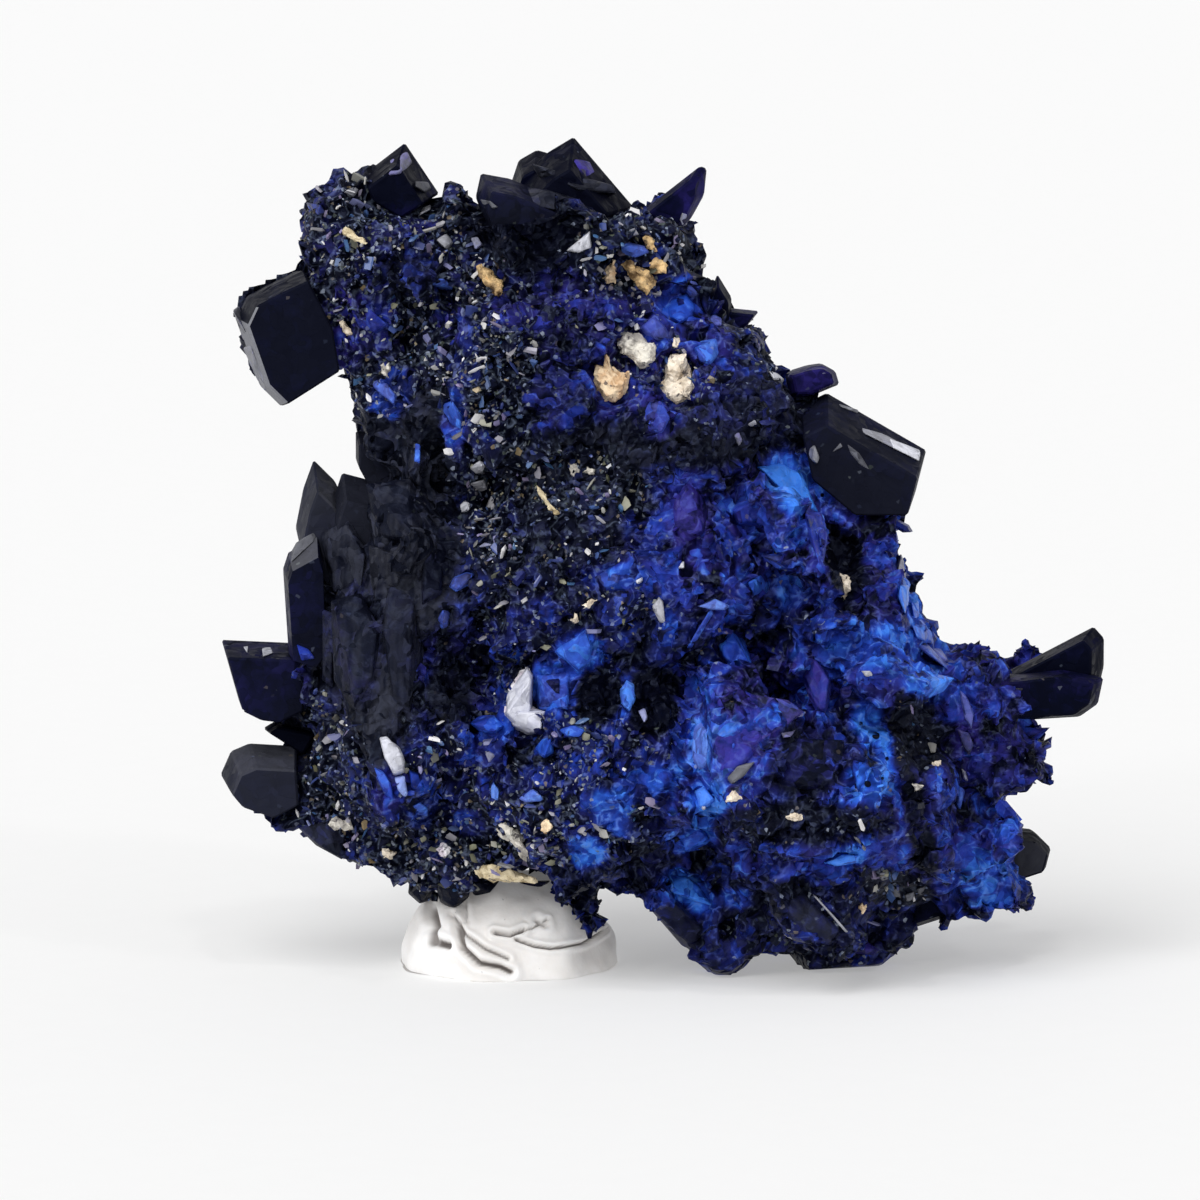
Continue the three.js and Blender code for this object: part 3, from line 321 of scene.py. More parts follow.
    "foot slab": ([(3.9, 2.9), (5.3, 2.95), (6.7, 1.5), (6.2, 0.9), (4.9, 1.1), (4.0, 2.2)], 0.4, (0.15, 0.1, 0.5, 0)),
    "foot line": ([(5.5, 2.95), (5.65, 2.9), (6.95, 1.45), (6.85, 1.4)], 0.5, (0, 0, 0.6, 0.5)),
    "rim line": ([(7.0, 5.15), (7.2, 5.1), (7.6, 4.6), (7.5, 4.5)], 0.3, (0, 0.1, 0.6, 0.3)),
    "foot chip": ([(7.0, 0.7), (7.8, 1.0), (8.3, 0.6), (8.1, 0.35), (7.2, 0.4)], 0.2, (0.25, 0.6, 0, 0)),
    "olive tooth": ([(8.0, 3.7), (8.3, 3.75), (8.5, 3.45), (8.2, 3.35)], 0.3, (0, 0, 1, 0.22)),
    "second tooth": ([(8.5, 3.1), (8.9, 3.0), (9.0, 2.7), (8.7, 2.65)], 0.3, (0, 0, 1, 0.18)),
    "third tooth": ([(9.1, 2.8), (9.5, 2.9), (9.6, 2.5), (9.2, 2.5)], 0.3, (0, 0, 1, 0.2)),
    "fourth tooth": ([(9.6, 3.0), (9.95, 3.1), (9.9, 2.7), (9.7, 2.7)], 0.3, (0, 0, 1, 0.15)),
    # left
    "slate leaf": ([(-12.5, 13.9), (-11.4, 14.2), (-10.6, 12.8), (-10.8, 10.9), (-11.6, 9.7), (-12.4, 10.9)],
                   0.35, (0.1, 0.3, 0.6, 0.0)),
    "slate spine": ([(-10.3, 14.7), (-9.3, 14.1), (-9.0, 11.8), (-9.5, 9.5), (-10.2, 10.1), (-10.6, 12.8)],
                    0.3, (-0.02, 0.05, 0.5, 0.0)),
    "slate shoulder": ([(-13.0, 16.4), (-11.9, 17.0), (-11.1, 15.6), (-11.3, 14.1), (-12.5, 14.1)],
                       0.4, (0.0, 0.0, 0.85, 0.0)),
    "slate roof": ([(-11.2, 18.3), (-9.5, 18.5), (-8.7, 17.4), (-9.3, 16.0), (-10.8, 16.2)],
                   0.35, (0.0, 0.0, 0.7, 0.0)),
    "slate flank": ([(-9.1, 17.2), (-8.1, 16.4), (-8.3, 14.1), (-9.1, 13.6)], 0.3, (0.02, 0.1, 0.35, 0.0)),
    "slate ridge": ([(-11.1, 16.0), (-9.7, 15.6), (-9.9, 14.4), (-11.0, 14.2)], 0.25, (0.0, 0.0, 1.0, 0.01)),
    "slate wedge": ([(-12.9, 13.6), (-12.4, 13.4), (-12.5, 10.6), (-12.9, 10.9)], 0.3, (0.0, 0.1, 0.5, 0.0)),
    "column cap": ([(-14.3, 15.4), (-13.9, 16.1), (-13.2, 16.55), (-13.15, 16.2), (-13.6, 15.8), (-14.1, 15.3)],
                   0.1, (0, 0, 1, 0.17)),
    "column foot": ([(-13.9, 12.3), (-13.4, 12.1), (-13.1, 11.7), (-13.7, 11.6)], 0.15, (0.4, 0.2, 0, 0)),
    "shelf fleck": ([(-15.3, 12.1), (-15.0, 12.25), (-14.8, 11.9), (-15.2, 11.75)], 0.1, (0, 0, 0, 0.6)),
    "shelf glint": ([(-16.0, 12.15), (-15.8, 12.2), (-15.8, 11.9)], 0.1, (0, 0, 0, 0.8)),
}

# Round hollows of the display side: seen place, radius and depth. The finish paints them dark: painted shade.
HOLLOWS = [
    (-0.6, 10.1, 0.75, 0.45), (-1.9, 10.6, 0.5, 0.4), (-8.0, 10.6, 0.7, 0.3), (6.8, 15.6, 0.6, 0.5),
    (2.3, 5.9, 0.3, 0.4), (-5.4, 8.2, 0.5, 0.4), (3.4, 2.3, 0.4, 0.3), (-13.0, 10.8, 0.4, 0.3),
    (1.3, 4.0, 0.4, 0.4), (-6.9, 28.1, 0.9, 0.4), (-4.4, 27.8, 1.2, 0.6), (7.7, 8.2, 0.5, 0.3),
]

# Small round pits of the display side: seen place and radius. Each is drawn as a thin near-black disc over the surface:
# painted shade.
PITS = [
    (7.95, 8.85, 0.17), (7.65, 7.85, 0.2), (7.55, 7.1, 0.16), (8.35, 8.0, 0.09), (7.4, 9.3, 0.09),
    (8.1, 7.3, 0.08), (0.85, 24.98, 0.15), (1.3, 8.1, 0.16), (0.8, 17.6, 0.12), (2.4, 12.5, 0.2),
    (6.0, 17.9, 0.1), (-2.1, 11.5, 0.2), (9.9, 12.2, 0.12), (0.5, 4.9, 0.14), (-6.9, 9.2, 0.14),
]

# Places at the outline where the massive azurite stays further inside: seen place, radius and depth.
TRIMS = [
    (2.2, 27.0, 1.5, 0.9), (3.4, 25.6, 1.1, 0.4), (4.2, 24.4, 0.7, 0.2), (5.0, 23.7, 1.0, 0.4),
    (10.1, 18.0, 1.0, 0.4), (9.6, 16.8, 0.8, 0.8), (10.1, 16.0, 1.1, 0.7), (13.8, 12.3, 0.9, 1.0),
    (-15.6, 26.0, 1.7, 1.8), (-14.9, 26.9, 0.8, 0.8), (-16.7, 25.0, 0.9, 1.0), (-12.2, 31.0, 0.8, 0.2),
    (-15.8, 5.5, 0.8, 0.7), (-10.9, 3.3, 0.6, 0.3), (13.9, 5.6, 0.6, 0.6), (12.4, 1.6, 1.6, 0.35),
    (10.3, 14.0, 0.8, 0.45), (-14.3, 27.6, 0.8, 0.35),
]

# Tones of the display side, from broad to narrow: u, w, half width, half height, lean in degrees, then
# how much azure, violet, glitter and slate.
FRONT_TONES = [
    (-9.4, 25.4, 5.4, 5.4, 0, 0.08, 0.2, 0.85, 0.12),  # upper left
    (-11.4, 13.0, 3.6, 6.6, 0, 0.02, 0.06, 0.0, 0.95),  # slate wall
    (-9.8, 19.4, 2.2, 2.6, 0, 0.04, 0.04, 0.12, 0.75),
    (-3.4, 24.6, 3.0, 2.4, 0, 0.18, 0.35, 0.2, 0.05),
    (1.5, 24.6, 2.4, 3.0, 0, 0.3, 0.3, 0.2, 0.1),
    (-0.6, 22.4, 2.4, 2.6, 0, 0.3, 0.45, 0.2, 0.0),
    (3.6, 24.0, 1.6, 1.6, -30, 0.14, 0.05, 0.05, 0.55),
    (3.0, 20.8, 3.8, 1.6, 8, 0.07, 0.14, 0.1, 0.25),  # dark band
    (-0.8, 19.4, 3.2, 1.2, 0, 0.0, 0.0, 0.05, 0.4),
    (1.8, 15.8, 6.0, 3.0, 6, 0.36, 0.26, 0.2, 0.0),  # middle band
    (-4.4, 16.2, 3.0, 2.4, 0, 0.08, 0.1, 0.5, 0.25),
    (-4.0, 13.2, 3.6, 1.8, 0, 0.2, 0.12, 0.45, 0.1),
    (-4.6, 8.0, 5.2, 3.6, 0, 0.28, 0.12, 0.55, 0.0),  # lower left
    (-8.2, 11.0, 1.6, 1.8, 0, 0.16, 0.35, 0.1, 0.1),
    (6.2, 9.0, 6.0, 6.0, 0, 0.46, 0.3, 0.1, 0.0),  # lower right
    (13.2, 9.4, 3.2, 3.6, 0, 0.3, 0.34, 0.05, 0.0),  # arm
    (12.0, 4.2, 2.6, 2.2, 0, 0.52, 0.3, 0.0, 0.0),  # corner
    (5.0, 1.6, 5.0, 1.8, 0, 0.17, 0.12, 0.2, 0.15),  # foot
    # Darker tone in the hollow under the peak: painted shade.
    (-5.3, 27.7, 2.2, 1.3, -8, -0.2, 0.0, 0.0, 0.12),  # hollow under the peak
    (-6.4, 21.2, 1.6, 5.0, 0, 0.08, 0.06, 1.0, 0.05),  # sparkling column
    (-3.6, 18.4, 3.0, 1.3, -8, 0.0, 0.0, 0.75, 0.3),
    (-0.6, 27.0, 2.8, 1.8, 0, 0.05, 0.0, 0.75, 0.15),
    (0.4, 23.6, 2.4, 2.2, 0, 0.4, 0.35, 0.55, 0.0),
    (4.0, 24.0, 1.4, 1.6, -30, 0.22, 0.05, 0.5, 0.2),
    (-10.4, 4.6, 4.6, 1.4, -28, 0.08, 0.06, 0.95, 0.25),  # lower left rim
    (-12.4, 8.2, 1.2, 2.6, 20, 0.1, 0.05, 0.8, 0.3),
    (-4.4, 5.2, 3.4, 1.2, 0, 0.25, 0.15, 0.9, 0.0),
    (-7.8, 4.0, 3.0, 1.0, 0, 0.1, 0.1, 0.8, 0.1),
    (-4.2, 21.2, 1.1, 1.0, 0, 0.27, 0.2, 0.1, 0.0),
    (-9.7, 26.2, 1.4, 0.9, 0, 0.2, 0.1, 0.2, 0.2),
    (-11.2, 24.6, 1.6, 1.2, -20, 0.14, 0.4, 0.8, 0.0),
    (-12.2, 23.4, 1.0, 1.0, 0, 0.22, 0.4, 0.5, 0.0),
    (-8.0, 24.4, 0.9, 0.8, 0, 0.26, 0.45, 0.4, 0.0),
    (-6.0, 24.8, 0.9, 0.7, -20, 0.3, 0.4, 0.5, 0.0),
    (-10.4, 21.8, 1.0, 1.0, 40, 0.34, 0.0, 0.6, 0.1),
    (-7.9, 20.8, 0.5, 1.2, 0, 0.5, 0.3, 0.3, 0.0),
    (0.8, 25.0, 1.0, 1.0, 0, 0.56, 0.15, 0.0, 0.0),
    (1.7, 23.5, 0.8, 1.2, 0, 0.52, 0.5, 0.1, 0.0),
    (-0.2, 23.8, 0.8, 0.8, -40, 0.5, 0.45, 0.3, 0.0),
    (-0.3, 20.9, 0.9, 1.0, 0, 0.4, 0.6, 0.1, 0.05),
    (1.0, 17.2, 0.9, 1.4, 0, 0.42, 0.7, 0.0, 0.0),
    (0.6, 15.2, 1.3, 0.7, 10, 0.55, 0.5, 0.0, 0.0),
    (-1.9, 14.8, 1.1, 0.5, 0, 0.55, 0.2, 0.1, 0.0),
    (3.2, 17.2, 1.2, 1.0, 0, 0.5, 0.45, 0.0, 0.0),
    (4.0, 17.9, 0.5, 1.4, 40, 0.2, 0.6, 0.0, 0.0),
    (4.9, 18.2, 1.0, 1.4, 28, 0.9, 0.05, 0.0, 0.0),
    (5.7, 16.2, 0.5, 1.7, 10, 0.55, 0.6, 0.0, 0.0),
    # Darker tone in the hollow beside the ivory chip: painted shade.
    (6.8, 15.4, 0.7, 1.1, 0, -0.2, 0.0, 0.0, 0.1),  # hollow beside the ivory chip
    (4.4, 12.9, 1.7, 0.8, -10, 0.24, 0.1, 0.1, 0.0),
    (8.6, 14.9, 1.1, 1.8, 15, 0.42, 0.5, 0.0, 0.0),
    (9.4, 13.8, 0.5, 1.0, 15, 0.85, 0.2, 0.0, 0.0),
    (8.0, 17.2, 1.6, 0.6, 5, 0.45, 0.45, 0.0, 0.0),
    (8.3, 12.2, 2.1, 0.9, -15, 0.68, 0.05, 0.0, 0.0),  # shelf
    (6.6, 11.9, 0.6, 0.8, 0, 0.55, 0.1, 0.0, 0.0),
    (10.3, 11.9, 0.8, 0.9, 35, 0.8, 0.3, 0.0, 0.0),  # ridge
    (11.2, 10.4, 0.6, 1.3, 20, 0.62, 0.6, 0.0, 0.0),
    (11.5, 8.6, 0.4, 1.6, 0, 0.5, 0.85, 0.0, 0.0),
    (11.3, 6.6, 0.4, 1.0, 0, 0.6, 0.5, 0.0, 0.0),
    (9.9, 10.5, 0.9, 0.6, 0, 0.72, 0.0, 0.0, 0.05),
    (9.4, 8.8, 1.1, 1.4, 0, -0.1, 0.0, 0.35, 0.35),  # brown hollow
    (9.6, 5.4, 0.6, 2.2, 10, 0.0, 0.2, 0.0, 0.2),
    (5.4, 8.0, 1.6, 1.3, 25, 0.14, 0.2, 0.0, 0.25),  # dark slab
    (5.2, 5.6, 3.0, 0.8, 0, 0.04, 0.0, 0.2, 0.15),
    (3.0, 9.0, 1.4, 1.4, -40, 0.5, 1.0, 0.0, 0.0),  # violet slab
    (1.9, 8.4, 0.7, 2.2, 0, 0.72, 0.6, 0.0, 0.0),
    (1.3, 8.4, 0.4, 1.1, 0, 0.95, 0.0, 0.0, 0.0),
    (1.6, 6.5, 0.8, 0.7, 0, 0.85, 0.0, 0.0, 0.0),
    (3.4, 10.9, 1.6, 0.7, 25, 0.3, 0.7, 0.0, 0.0),
    (7.7, 8.2, 0.85, 1.8, 0, 0.98, 0.0, 0.0, 0.0),  # pitted patch
    (6.7, 8.4, 0.6, 0.7, 0, 0.5, 0.3, 0.0, 0.0),
    (-3.9, 10.9, 1.3, 1.2, 0, 0.55, 0.1, 0.0, 0.0),
    (-3.2, 12.0, 0.9, 0.8, 0, 0.6, 0.1, 0.0, 0.0),
    (-1.4, 10.3, 0.5, 0.8, 0, 0.7, 0.0, 0.0, 0.0),
    # Darker tone in these hollows: painted shade.
    (-0.4, 10.2, 0.9, 1.1, 0, -0.3, 0.0, 0.0, 0.1),  # hollows
    (-2.5, 10.3, 0.8, 1.0, 0, -0.3, 0.0, 0.0, 0.1),
    (-8.0, 10.5, 0.9, 1.0, 0, -0.1, 0.15, 0.0, 0.2),
    (-4.8, 8.2, 0.8, 0.6, 0, 0.3, 0.0, 0.1, 0.0),
    (-0.9, 7.0, 1.9, 0.6, 20, 0.72, 0.1, 0.0, 0.0),
    (-1.9, 5.9, 0.6, 1.0, 20, 0.7, 0.0, 0.1, 0.0),
    (-2.9, 4.5, 0.8, 0.6, 0, 0.8, 0.0, 0.1, 0.0),
    (-10.2, 6.7, 0.8, 1.0, -20, 0.4, 0.4, 0.2, 0.0),
    (-9.1, 6.2, 0.7, 0.9, 0, 0.52, 0.0, 0.2, 0.0),
    (-7.2, 5.6, 0.9, 0.6, 0, 0.45, 0.3, 0.4, 0.0),
    (-6.5, 8.6, 1.1, 0.9, 0, 0.5, 0.2, 0.1, 0.0),
    (-14.9, 10.8, 1.6, 1.3, 0, 0.28, 0.4, 0.05, 0.1),
    (-11.7, 12.2, 1.2, 2.6, 0, 0.09, 0.25, 0.0, 0.6),
    (1.0, 2.9, 1.2, 0.6, -35, 0.9, 0.0, 0.0, 0.0),
    (0.9, 4.9, 1.0, 0.6, 0, 0.62, 0.05, 0.0, 0.0),
    (2.9, 2.6, 1.0, 0.4, 0, 0.65, 0.1, 0.0, 0.0),
    (6.6, 4.2, 1.1, 0.35, 10, 0.82, 0.05, 0.0, 0.0),
    (5.6, 3.8, 1.4, 0.5, 0, 0.4, 0.3, 0.0, 0.0),
    (8.8, 3.1, 1.5, 0.6, -20, -0.1, 0.0, 0.6, 0.5),
    (12.6, 3.2, 1.6, 0.9, -10, 0.7, 0.15, 0.0, 0.0),
    (14.0, 2.4, 0.7, 0.6, 0, 0.4, 0.7, 0.0, 0.0),
    (10.9, 5.6, 0.9, 1.2, 0, 0.4, 0.35, 0.0, 0.0),
]
BACK_TONES = [
    (3.0, 12.0, 3.4, 3.0, 0, 0.45, 0.3, 0.0, 0.0),
    (-3.6, 17.6, 2.6, 2.2, 20, 0.35, 0.2, 0.1, 0.0),
    (-7.8, 9.6, 3.0, 2.0, 0, 0.5, 0.1, 0.0, 0.0),
    (8.6, 6.2, 2.6, 2.2, 0, 0.6, 0.25, 0.0, 0.0),
    (1.4, 22.6, 2.4, 2.4, 0, 0.3, 0.45, 0.0, 0.0),
    (-10.6, 25.6, 3.0, 2.4, 0, 0.1, 0.1, 0.5, 0.2),
    (-2.0, 25.6, 3.0, 2.0, 0, 0.15, 0.1, 0.6, 0.2),
    (-11.6, 12.6, 3.0, 4.6, 0, 0.05, 0.05, 0.2, 0.9),
    (3.6, 3.4, 3.0, 1.6, 0, 0.4, 0.3, 0.2, 0.0),
    (12.6, 9.8, 2.8, 2.6, 0, 0.3, 0.5, 0.0, 0.0),
]

# Grains of matrix: the node that each stands for, if it has one, its finish, how far it stands out, and
# its seen outline.
GRAINS = {
    "cream_left": ("cream_grain_left", "peach cream", 0.7, [
        (-2.65, 22.4), (-2.55, 22.8), (-2.25, 22.65), (-2.2, 23.1), (-2.05, 22.8), (-1.65, 22.4),
        (-1.3, 22.45), (-1.35, 21.9), (-1.55, 21.6), (-1.8, 21.35), (-2.15, 21.4), (-2.5, 21.8)]),
    "cream_right": ("cream_grain_right", "white cream", 0.7, [
        (0.1, 22.8), (0.3, 23.2), (0.8, 23.15), (1.0, 22.7), (1.1, 22.1), (1.15, 21.8), (1.05, 21.35),
        (0.5, 21.25), (0.1, 21.4), (-0.2, 21.7), (-0.1, 22.1), (0.0, 22.4)]),
    "grey": ("grey_grain", "grey cream", 0.6, [
        (-1.75, 23.6), (-1.4, 24.0), (-0.9, 23.95), (-0.6, 23.6), (-0.3, 23.4), (-0.3, 23.0),
        (-0.6, 22.7), (-0.9, 22.6), (-1.2, 23.0), (-1.6, 23.2)]),
    "ochre_left": ("ochre_grain_left", "ochre", 0.5, [
        (-7.05, 26.5), (-6.8, 26.6), (-6.4, 26.2), (-6.05, 25.8), (-6.0, 25.4), (-6.2, 25.25),
        (-6.5, 25.5), (-6.85, 25.9), (-7.0, 26.2)]),
    "ochre_right": ("ochre_grain_right", "ochre", 0.5, [
        (-1.6, 26.5), (-1.4, 26.7), (-0.9, 26.4), (-0.4, 26.2), (-0.35, 25.9), (-0.6, 25.4),
        (-0.9, 25.6), (-1.3, 26.1)]),
    "white": ("white_crystal", "lilac white", 0.4, [
        (-5.15, 11.5), (-4.95, 11.1), (-5.05, 10.4), (-5.0, 9.9), (-4.45, 9.65), (-4.6, 9.15),
        (-5.1, 8.95), (-5.55, 9.2), (-5.95, 9.55), (-5.95, 9.85), (-5.6, 10.2), (-5.85, 10.55),
        (-5.55, 10.95)]),
    "ivory": ("ivory_chip", "white cream", 0.4, [
        (6.4, 14.7), (6.6, 14.9), (6.95, 14.8), (7.0, 14.3), (6.75, 14.0), (6.5, 14.2)]),
    "strip": ("ochre_strip", "straw", 0.5, [
        (-7.1, 3.7), (-6.6, 3.95), (-6.0, 3.9), (-5.4, 3.6), (-4.75, 3.45), (-4.8, 3.25), (-5.5, 3.3),
        (-6.4, 3.3), (-6.9, 3.4)]),
    "peach_chip": (None, "peach cream", 0.3, [
        (-2.3, 26.0), (-2.1, 26.4), (-1.9, 26.75), (-1.8, 26.3), (-1.85, 25.85), (-2.2, 25.85)]),
    "cream_neck": (None, "white cream", 0.25, [(0.35, 23.3), (0.35, 23.75), (0.6, 23.75), (0.6, 23.3)]),
    "ochre_top": (None, "ochre", 0.3, [(-0.8, 27.5), (-0.6, 27.65), (-0.35, 27.4), (-0.3, 27.0), (-0.6, 27.1)]),
    "ochre_crest": (None, "ochre", 0.3, [(-0.55, 26.6), (-0.3, 26.75), (0.1, 26.5), (0.1, 26.2), (-0.4, 26.2)]),
    "ochre_streak": (None, "straw", 0.25, [
        (-12.1, 27.9), (-11.9, 27.95), (-11.3, 27.5), (-11.15, 27.3), (-11.4, 27.3), (-11.9, 27.6)]),
    "tan_shard": (None, "white cream", 0.25, [(-12.2, 24.4), (-12.05, 24.45), (-11.75, 23.95), (-11.8, 23.85), (-12.15, 24.2)]),
    "tan_chip": (None, "grey cream", 0.25, [(-10.65, 22.8), (-10.4, 22.95), (-10.3, 22.6), (-10.4, 22.3), (-10.6, 22.5)]),
    "cream_wedge": (None, "white cream", 0.3, [(2.3, 6.5), (2.6, 6.9), (2.85, 6.6), (2.6, 6.45)]),
    "cream_pair": (None, "white cream", 0.3, [(4.5, 5.85), (4.8, 5.95), (5.1, 5.95), (5.15, 5.7), (4.8, 5.7)]),
    "cream_ridge": (None, "grey cream", 0.3, [(9.25, 7.0), (9.5, 7.05), (9.7, 6.9), (9.4, 6.75)]),
    "cream_dot": (None, "white cream", 0.25, [(10.1, 7.85), (10.4, 7.85), (10.4, 7.7), (10.15, 7.7)]),
    "foot_curl": (None, "peach cream", 0.3, [(7.3, 2.35), (7.5, 2.6), (7.6, 2.3), (7.5, 2.1)]),
    "rim_grain": (None, "grey cream", 0.4, [
        (-12.8, 5.4), (-12.4, 5.7), (-11.9, 5.5), (-11.7, 5.2), (-12.2, 5.2), (-12.6, 5.2)]),
    "rim_chip": (None, "white cream", 0.3, [(-10.7, 4.4), (-10.5, 4.5), (-10.2, 4.3), (-10.3, 4.1), (-10.6, 4.15)]),
    "low_white": (None, "lilac white", 0.35, [(-8.6, 4.5), (-8.3, 4.75), (-8.0, 4.5), (-8.2, 4.3), (-8.5, 4.3)]),
    "low_cream": (None, "grey cream", 0.4, [
        (-6.2, 5.5), (-5.9, 5.6), (-5.4, 5.2), (-5.1, 4.4), (-5.0, 4.0), (-5.3, 4.1), (-5.7, 4.8), (-6.2, 5.1)]),
    "low_peach": (None, "peach cream", 0.3, [(-4.6, 5.6), (-4.4, 5.8), (-4.2, 5.5), (-4.4, 5.2), (-4.6, 5.3)]),
    "mid_tan": (None, "white cream", 0.25, [(-3.0, 13.7), (-2.75, 14.0), (-2.55, 13.95), (-2.8, 13.7)]),
    "mid_chip": (None, "white cream", 0.25, [(-3.5, 13.2), (-3.25, 13.4), (-3.2, 13.2), (-3.4, 13.1)]),
    "olive_vein": (None, "straw", 0.2, [(-4.8, 18.1), (-4.5, 18.0), (-4.2, 17.3), (-3.9, 17.15), (-4.1, 17.1), (-4.5, 17.6)]),
    "olive_arc": (None, "grey cream", 0.2, [(-3.6, 19.1), (-3.3, 19.1), (-3.2, 18.7), (-3.4, 18.5), (-3.5, 18.8)]),
    "olive_hook": (None, "grey cream", 0.2, [(-3.1, 18.8), (-2.8, 18.9), (-2.5, 18.8), (-2.6, 18.6), (-2.9, 18.7)]),
}
GRAIN_SLOTS = {
    "peach cream": "cream_grain",
    "white cream": "cream_grain",
    "grey cream": "grey_grain",
    "ochre": "ochre_grain",
    "straw": "ochre_grain",
    "lilac white": "white_crystal",
}
GRAIN_COLOURS = {
    "peach cream": ((0.62, 0.40, 0.22), (0.86, 0.68, 0.46)),
    "white cream": ((0.58, 0.48, 0.36), (0.90, 0.80, 0.66)),
    "grey cream": ((0.28, 0.26, 0.24), (0.74, 0.70, 0.62)),
    "ochre": ((0.14, 0.08, 0.03), (0.78, 0.54, 0.26)),
    "straw": ((0.36, 0.28, 0.15), (0.72, 0.62, 0.42)),
    "lilac white": ((0.66, 0.56, 0.66), (0.90, 0.88, 0.90)),
}

# Folds pressed into the putty: the seen line of each, how wide its crease is and how deep.
FOLDS = [
    ([(-7.8, 1.6), (-7.6, 0.7), (-7.0, 0.15), (-6.2, 0.0), (-5.8, -0.2)], 0.11, 0.50),
    ([(-8.0, 1.9), (-7.5, 1.2), (-6.8, 0.7), (-5.9, 0.3)], 0.08, 0.35),
    ([(-6.4, 1.3), (-5.8, 1.2), (-5.3, 1.4)], 0.07, 0.45),
    ([(-5.6, 1.05), (-4.9, 0.8), (-4.2, 0.7), (-3.0, 0.85), (-2.1, 1.35)], 0.06, 0.40),
    ([(-5.5, 1.3), (-4.9, 1.5), (-4.4, 1.8)], 0.05, 0.30),
    ([(-8.9, 2.2), (-8.7, 1.5), (-8.8, 0.9)], 0.20, 0.40),
    ([(-8.6, 0.9), (-8.2, 0.8)], 0.14, 0.60),
    ([(-4.8, 1.75), (-4.5, 1.6)], 0.10, 0.30),
    ([(-7.6, 2.4), (-7.5, 1.7)], 0.10, 0.25),
]

# Soft sunlight and small bright lamps: the direction to each from the specimen, its apparent width in
# degrees and its strength.
LIGHTS = {
    "key light": ((-0.35, -0.55, 0.76), 45.0, 2.1),
    "left sparkle": ((-0.55, -0.70, 0.45), 5.0, 0.22),
    "right sparkle": ((0.60, -0.55, 0.55), 5.0, 0.22),
    "top sparkle": ((0.10, -0.35, 0.93), 5.0, 0.25),
}


# ---- settings -----------------------------------------------------------------------------------

def length(label, description, millimetres):
    return FloatProperty(name=label, description=description, default=millimetres * MM, min=0.0,
                         unit="LENGTH", precision=5)


def share(label, description, value):
    return FloatProperty(name=label, description=description, default=value, min=0.0, max=1.0,
                         subtype="FACTOR")


def colour(label, description, value):
    return FloatVectorProperty(name=label, description=description, default=value, size=3,
                               subtype="COLOR", min=0.0, max=1.0)


class RockSettings(bpy.types.PropertyGroup):
    """Sizes of the massive azurite and its large crystals."""
    voxel: length("Mesh step", "Mesh size of the massive azurite", 0.215)
    coarse_facet: length("Coarse facet", "Width of the broken facets", 1.5)
    coarse_relief: share("Coarse relief", "Slope of the broken facets", 0.40)
    fine_facet: length("Fine facet", "Width of the small facets on the broken ones", 0.62)
    fine_relief: share("Fine relief", "Slope of the small facets", 0.36)
    ridge_size: length("Ridge size", "Distance between the ragged ridges", 1.5)
    ridge_height: length("Ridge height", "Height of the ragged ridges", 0.42)
    pit_size: length("Pit size", "Distance between the pits", 1.3)
    pit_depth: length("Pit depth", "Depth of the pits", 0.34)
    sink: length("Sink", "How far the massive azurite lies under the construction model's faces", 0.14)
    bury: length("Bury", "How far the massive azurite lies inside the large crystals", 0.6)
    bevel: length("Edge", "Width of the worn edges of the large crystals", 0.07)


class DruseSettings(bpy.types.PropertyGroup):
    """Sizes of the small crystals and crumbs."""
    blocks: length("Blocks", "Distance between the stout crystals", 2.0)
    blades: length("Blades", "Distance between the small blades", 0.62)
    chips: length("Chips", "Distance between the finest crystals", 0.40)
    specks: length("Specks", "Distance between the specks and glints", 0.27)
    glints: length("Glints", "Distance between the pale blades", 0.36)
    crumbs: length("Crumbs", "Distance between the ochre crumbs", 0.6)
    seed: IntProperty(name="Seed", description="Start of the random numbers", default=5, min=0)


class MatrixSettings(bpy.types.PropertyGroup):
    """Grain of the matrix pieces and shape of the putty."""
    grit: length("Grit", "Size of the lumps on a matrix grain", 0.3)
    lump: length("Lump", "Height of the lumps in the putty", 0.32)


class StageSettings(bpy.types.PropertyGroup):
    """Camera, lights and floor."""
    field: length("Field", "Width of what the camera sees at the specimen", 45.8)
    lens: FloatProperty(name="Lens", description="Focal length in millimetres", default=250.0, min=20.0)
    floor: colour("Floor", "Colour of the floor", (0.55, 0.55, 0.545))
    reach: length("Reach", "Radius of the floor", 1600)
    surround: FloatProperty(name="Surround", description="Brightness all around", default=1.0, min=0.0)


# ---- nodes --------------------------------------------------------------------------------------

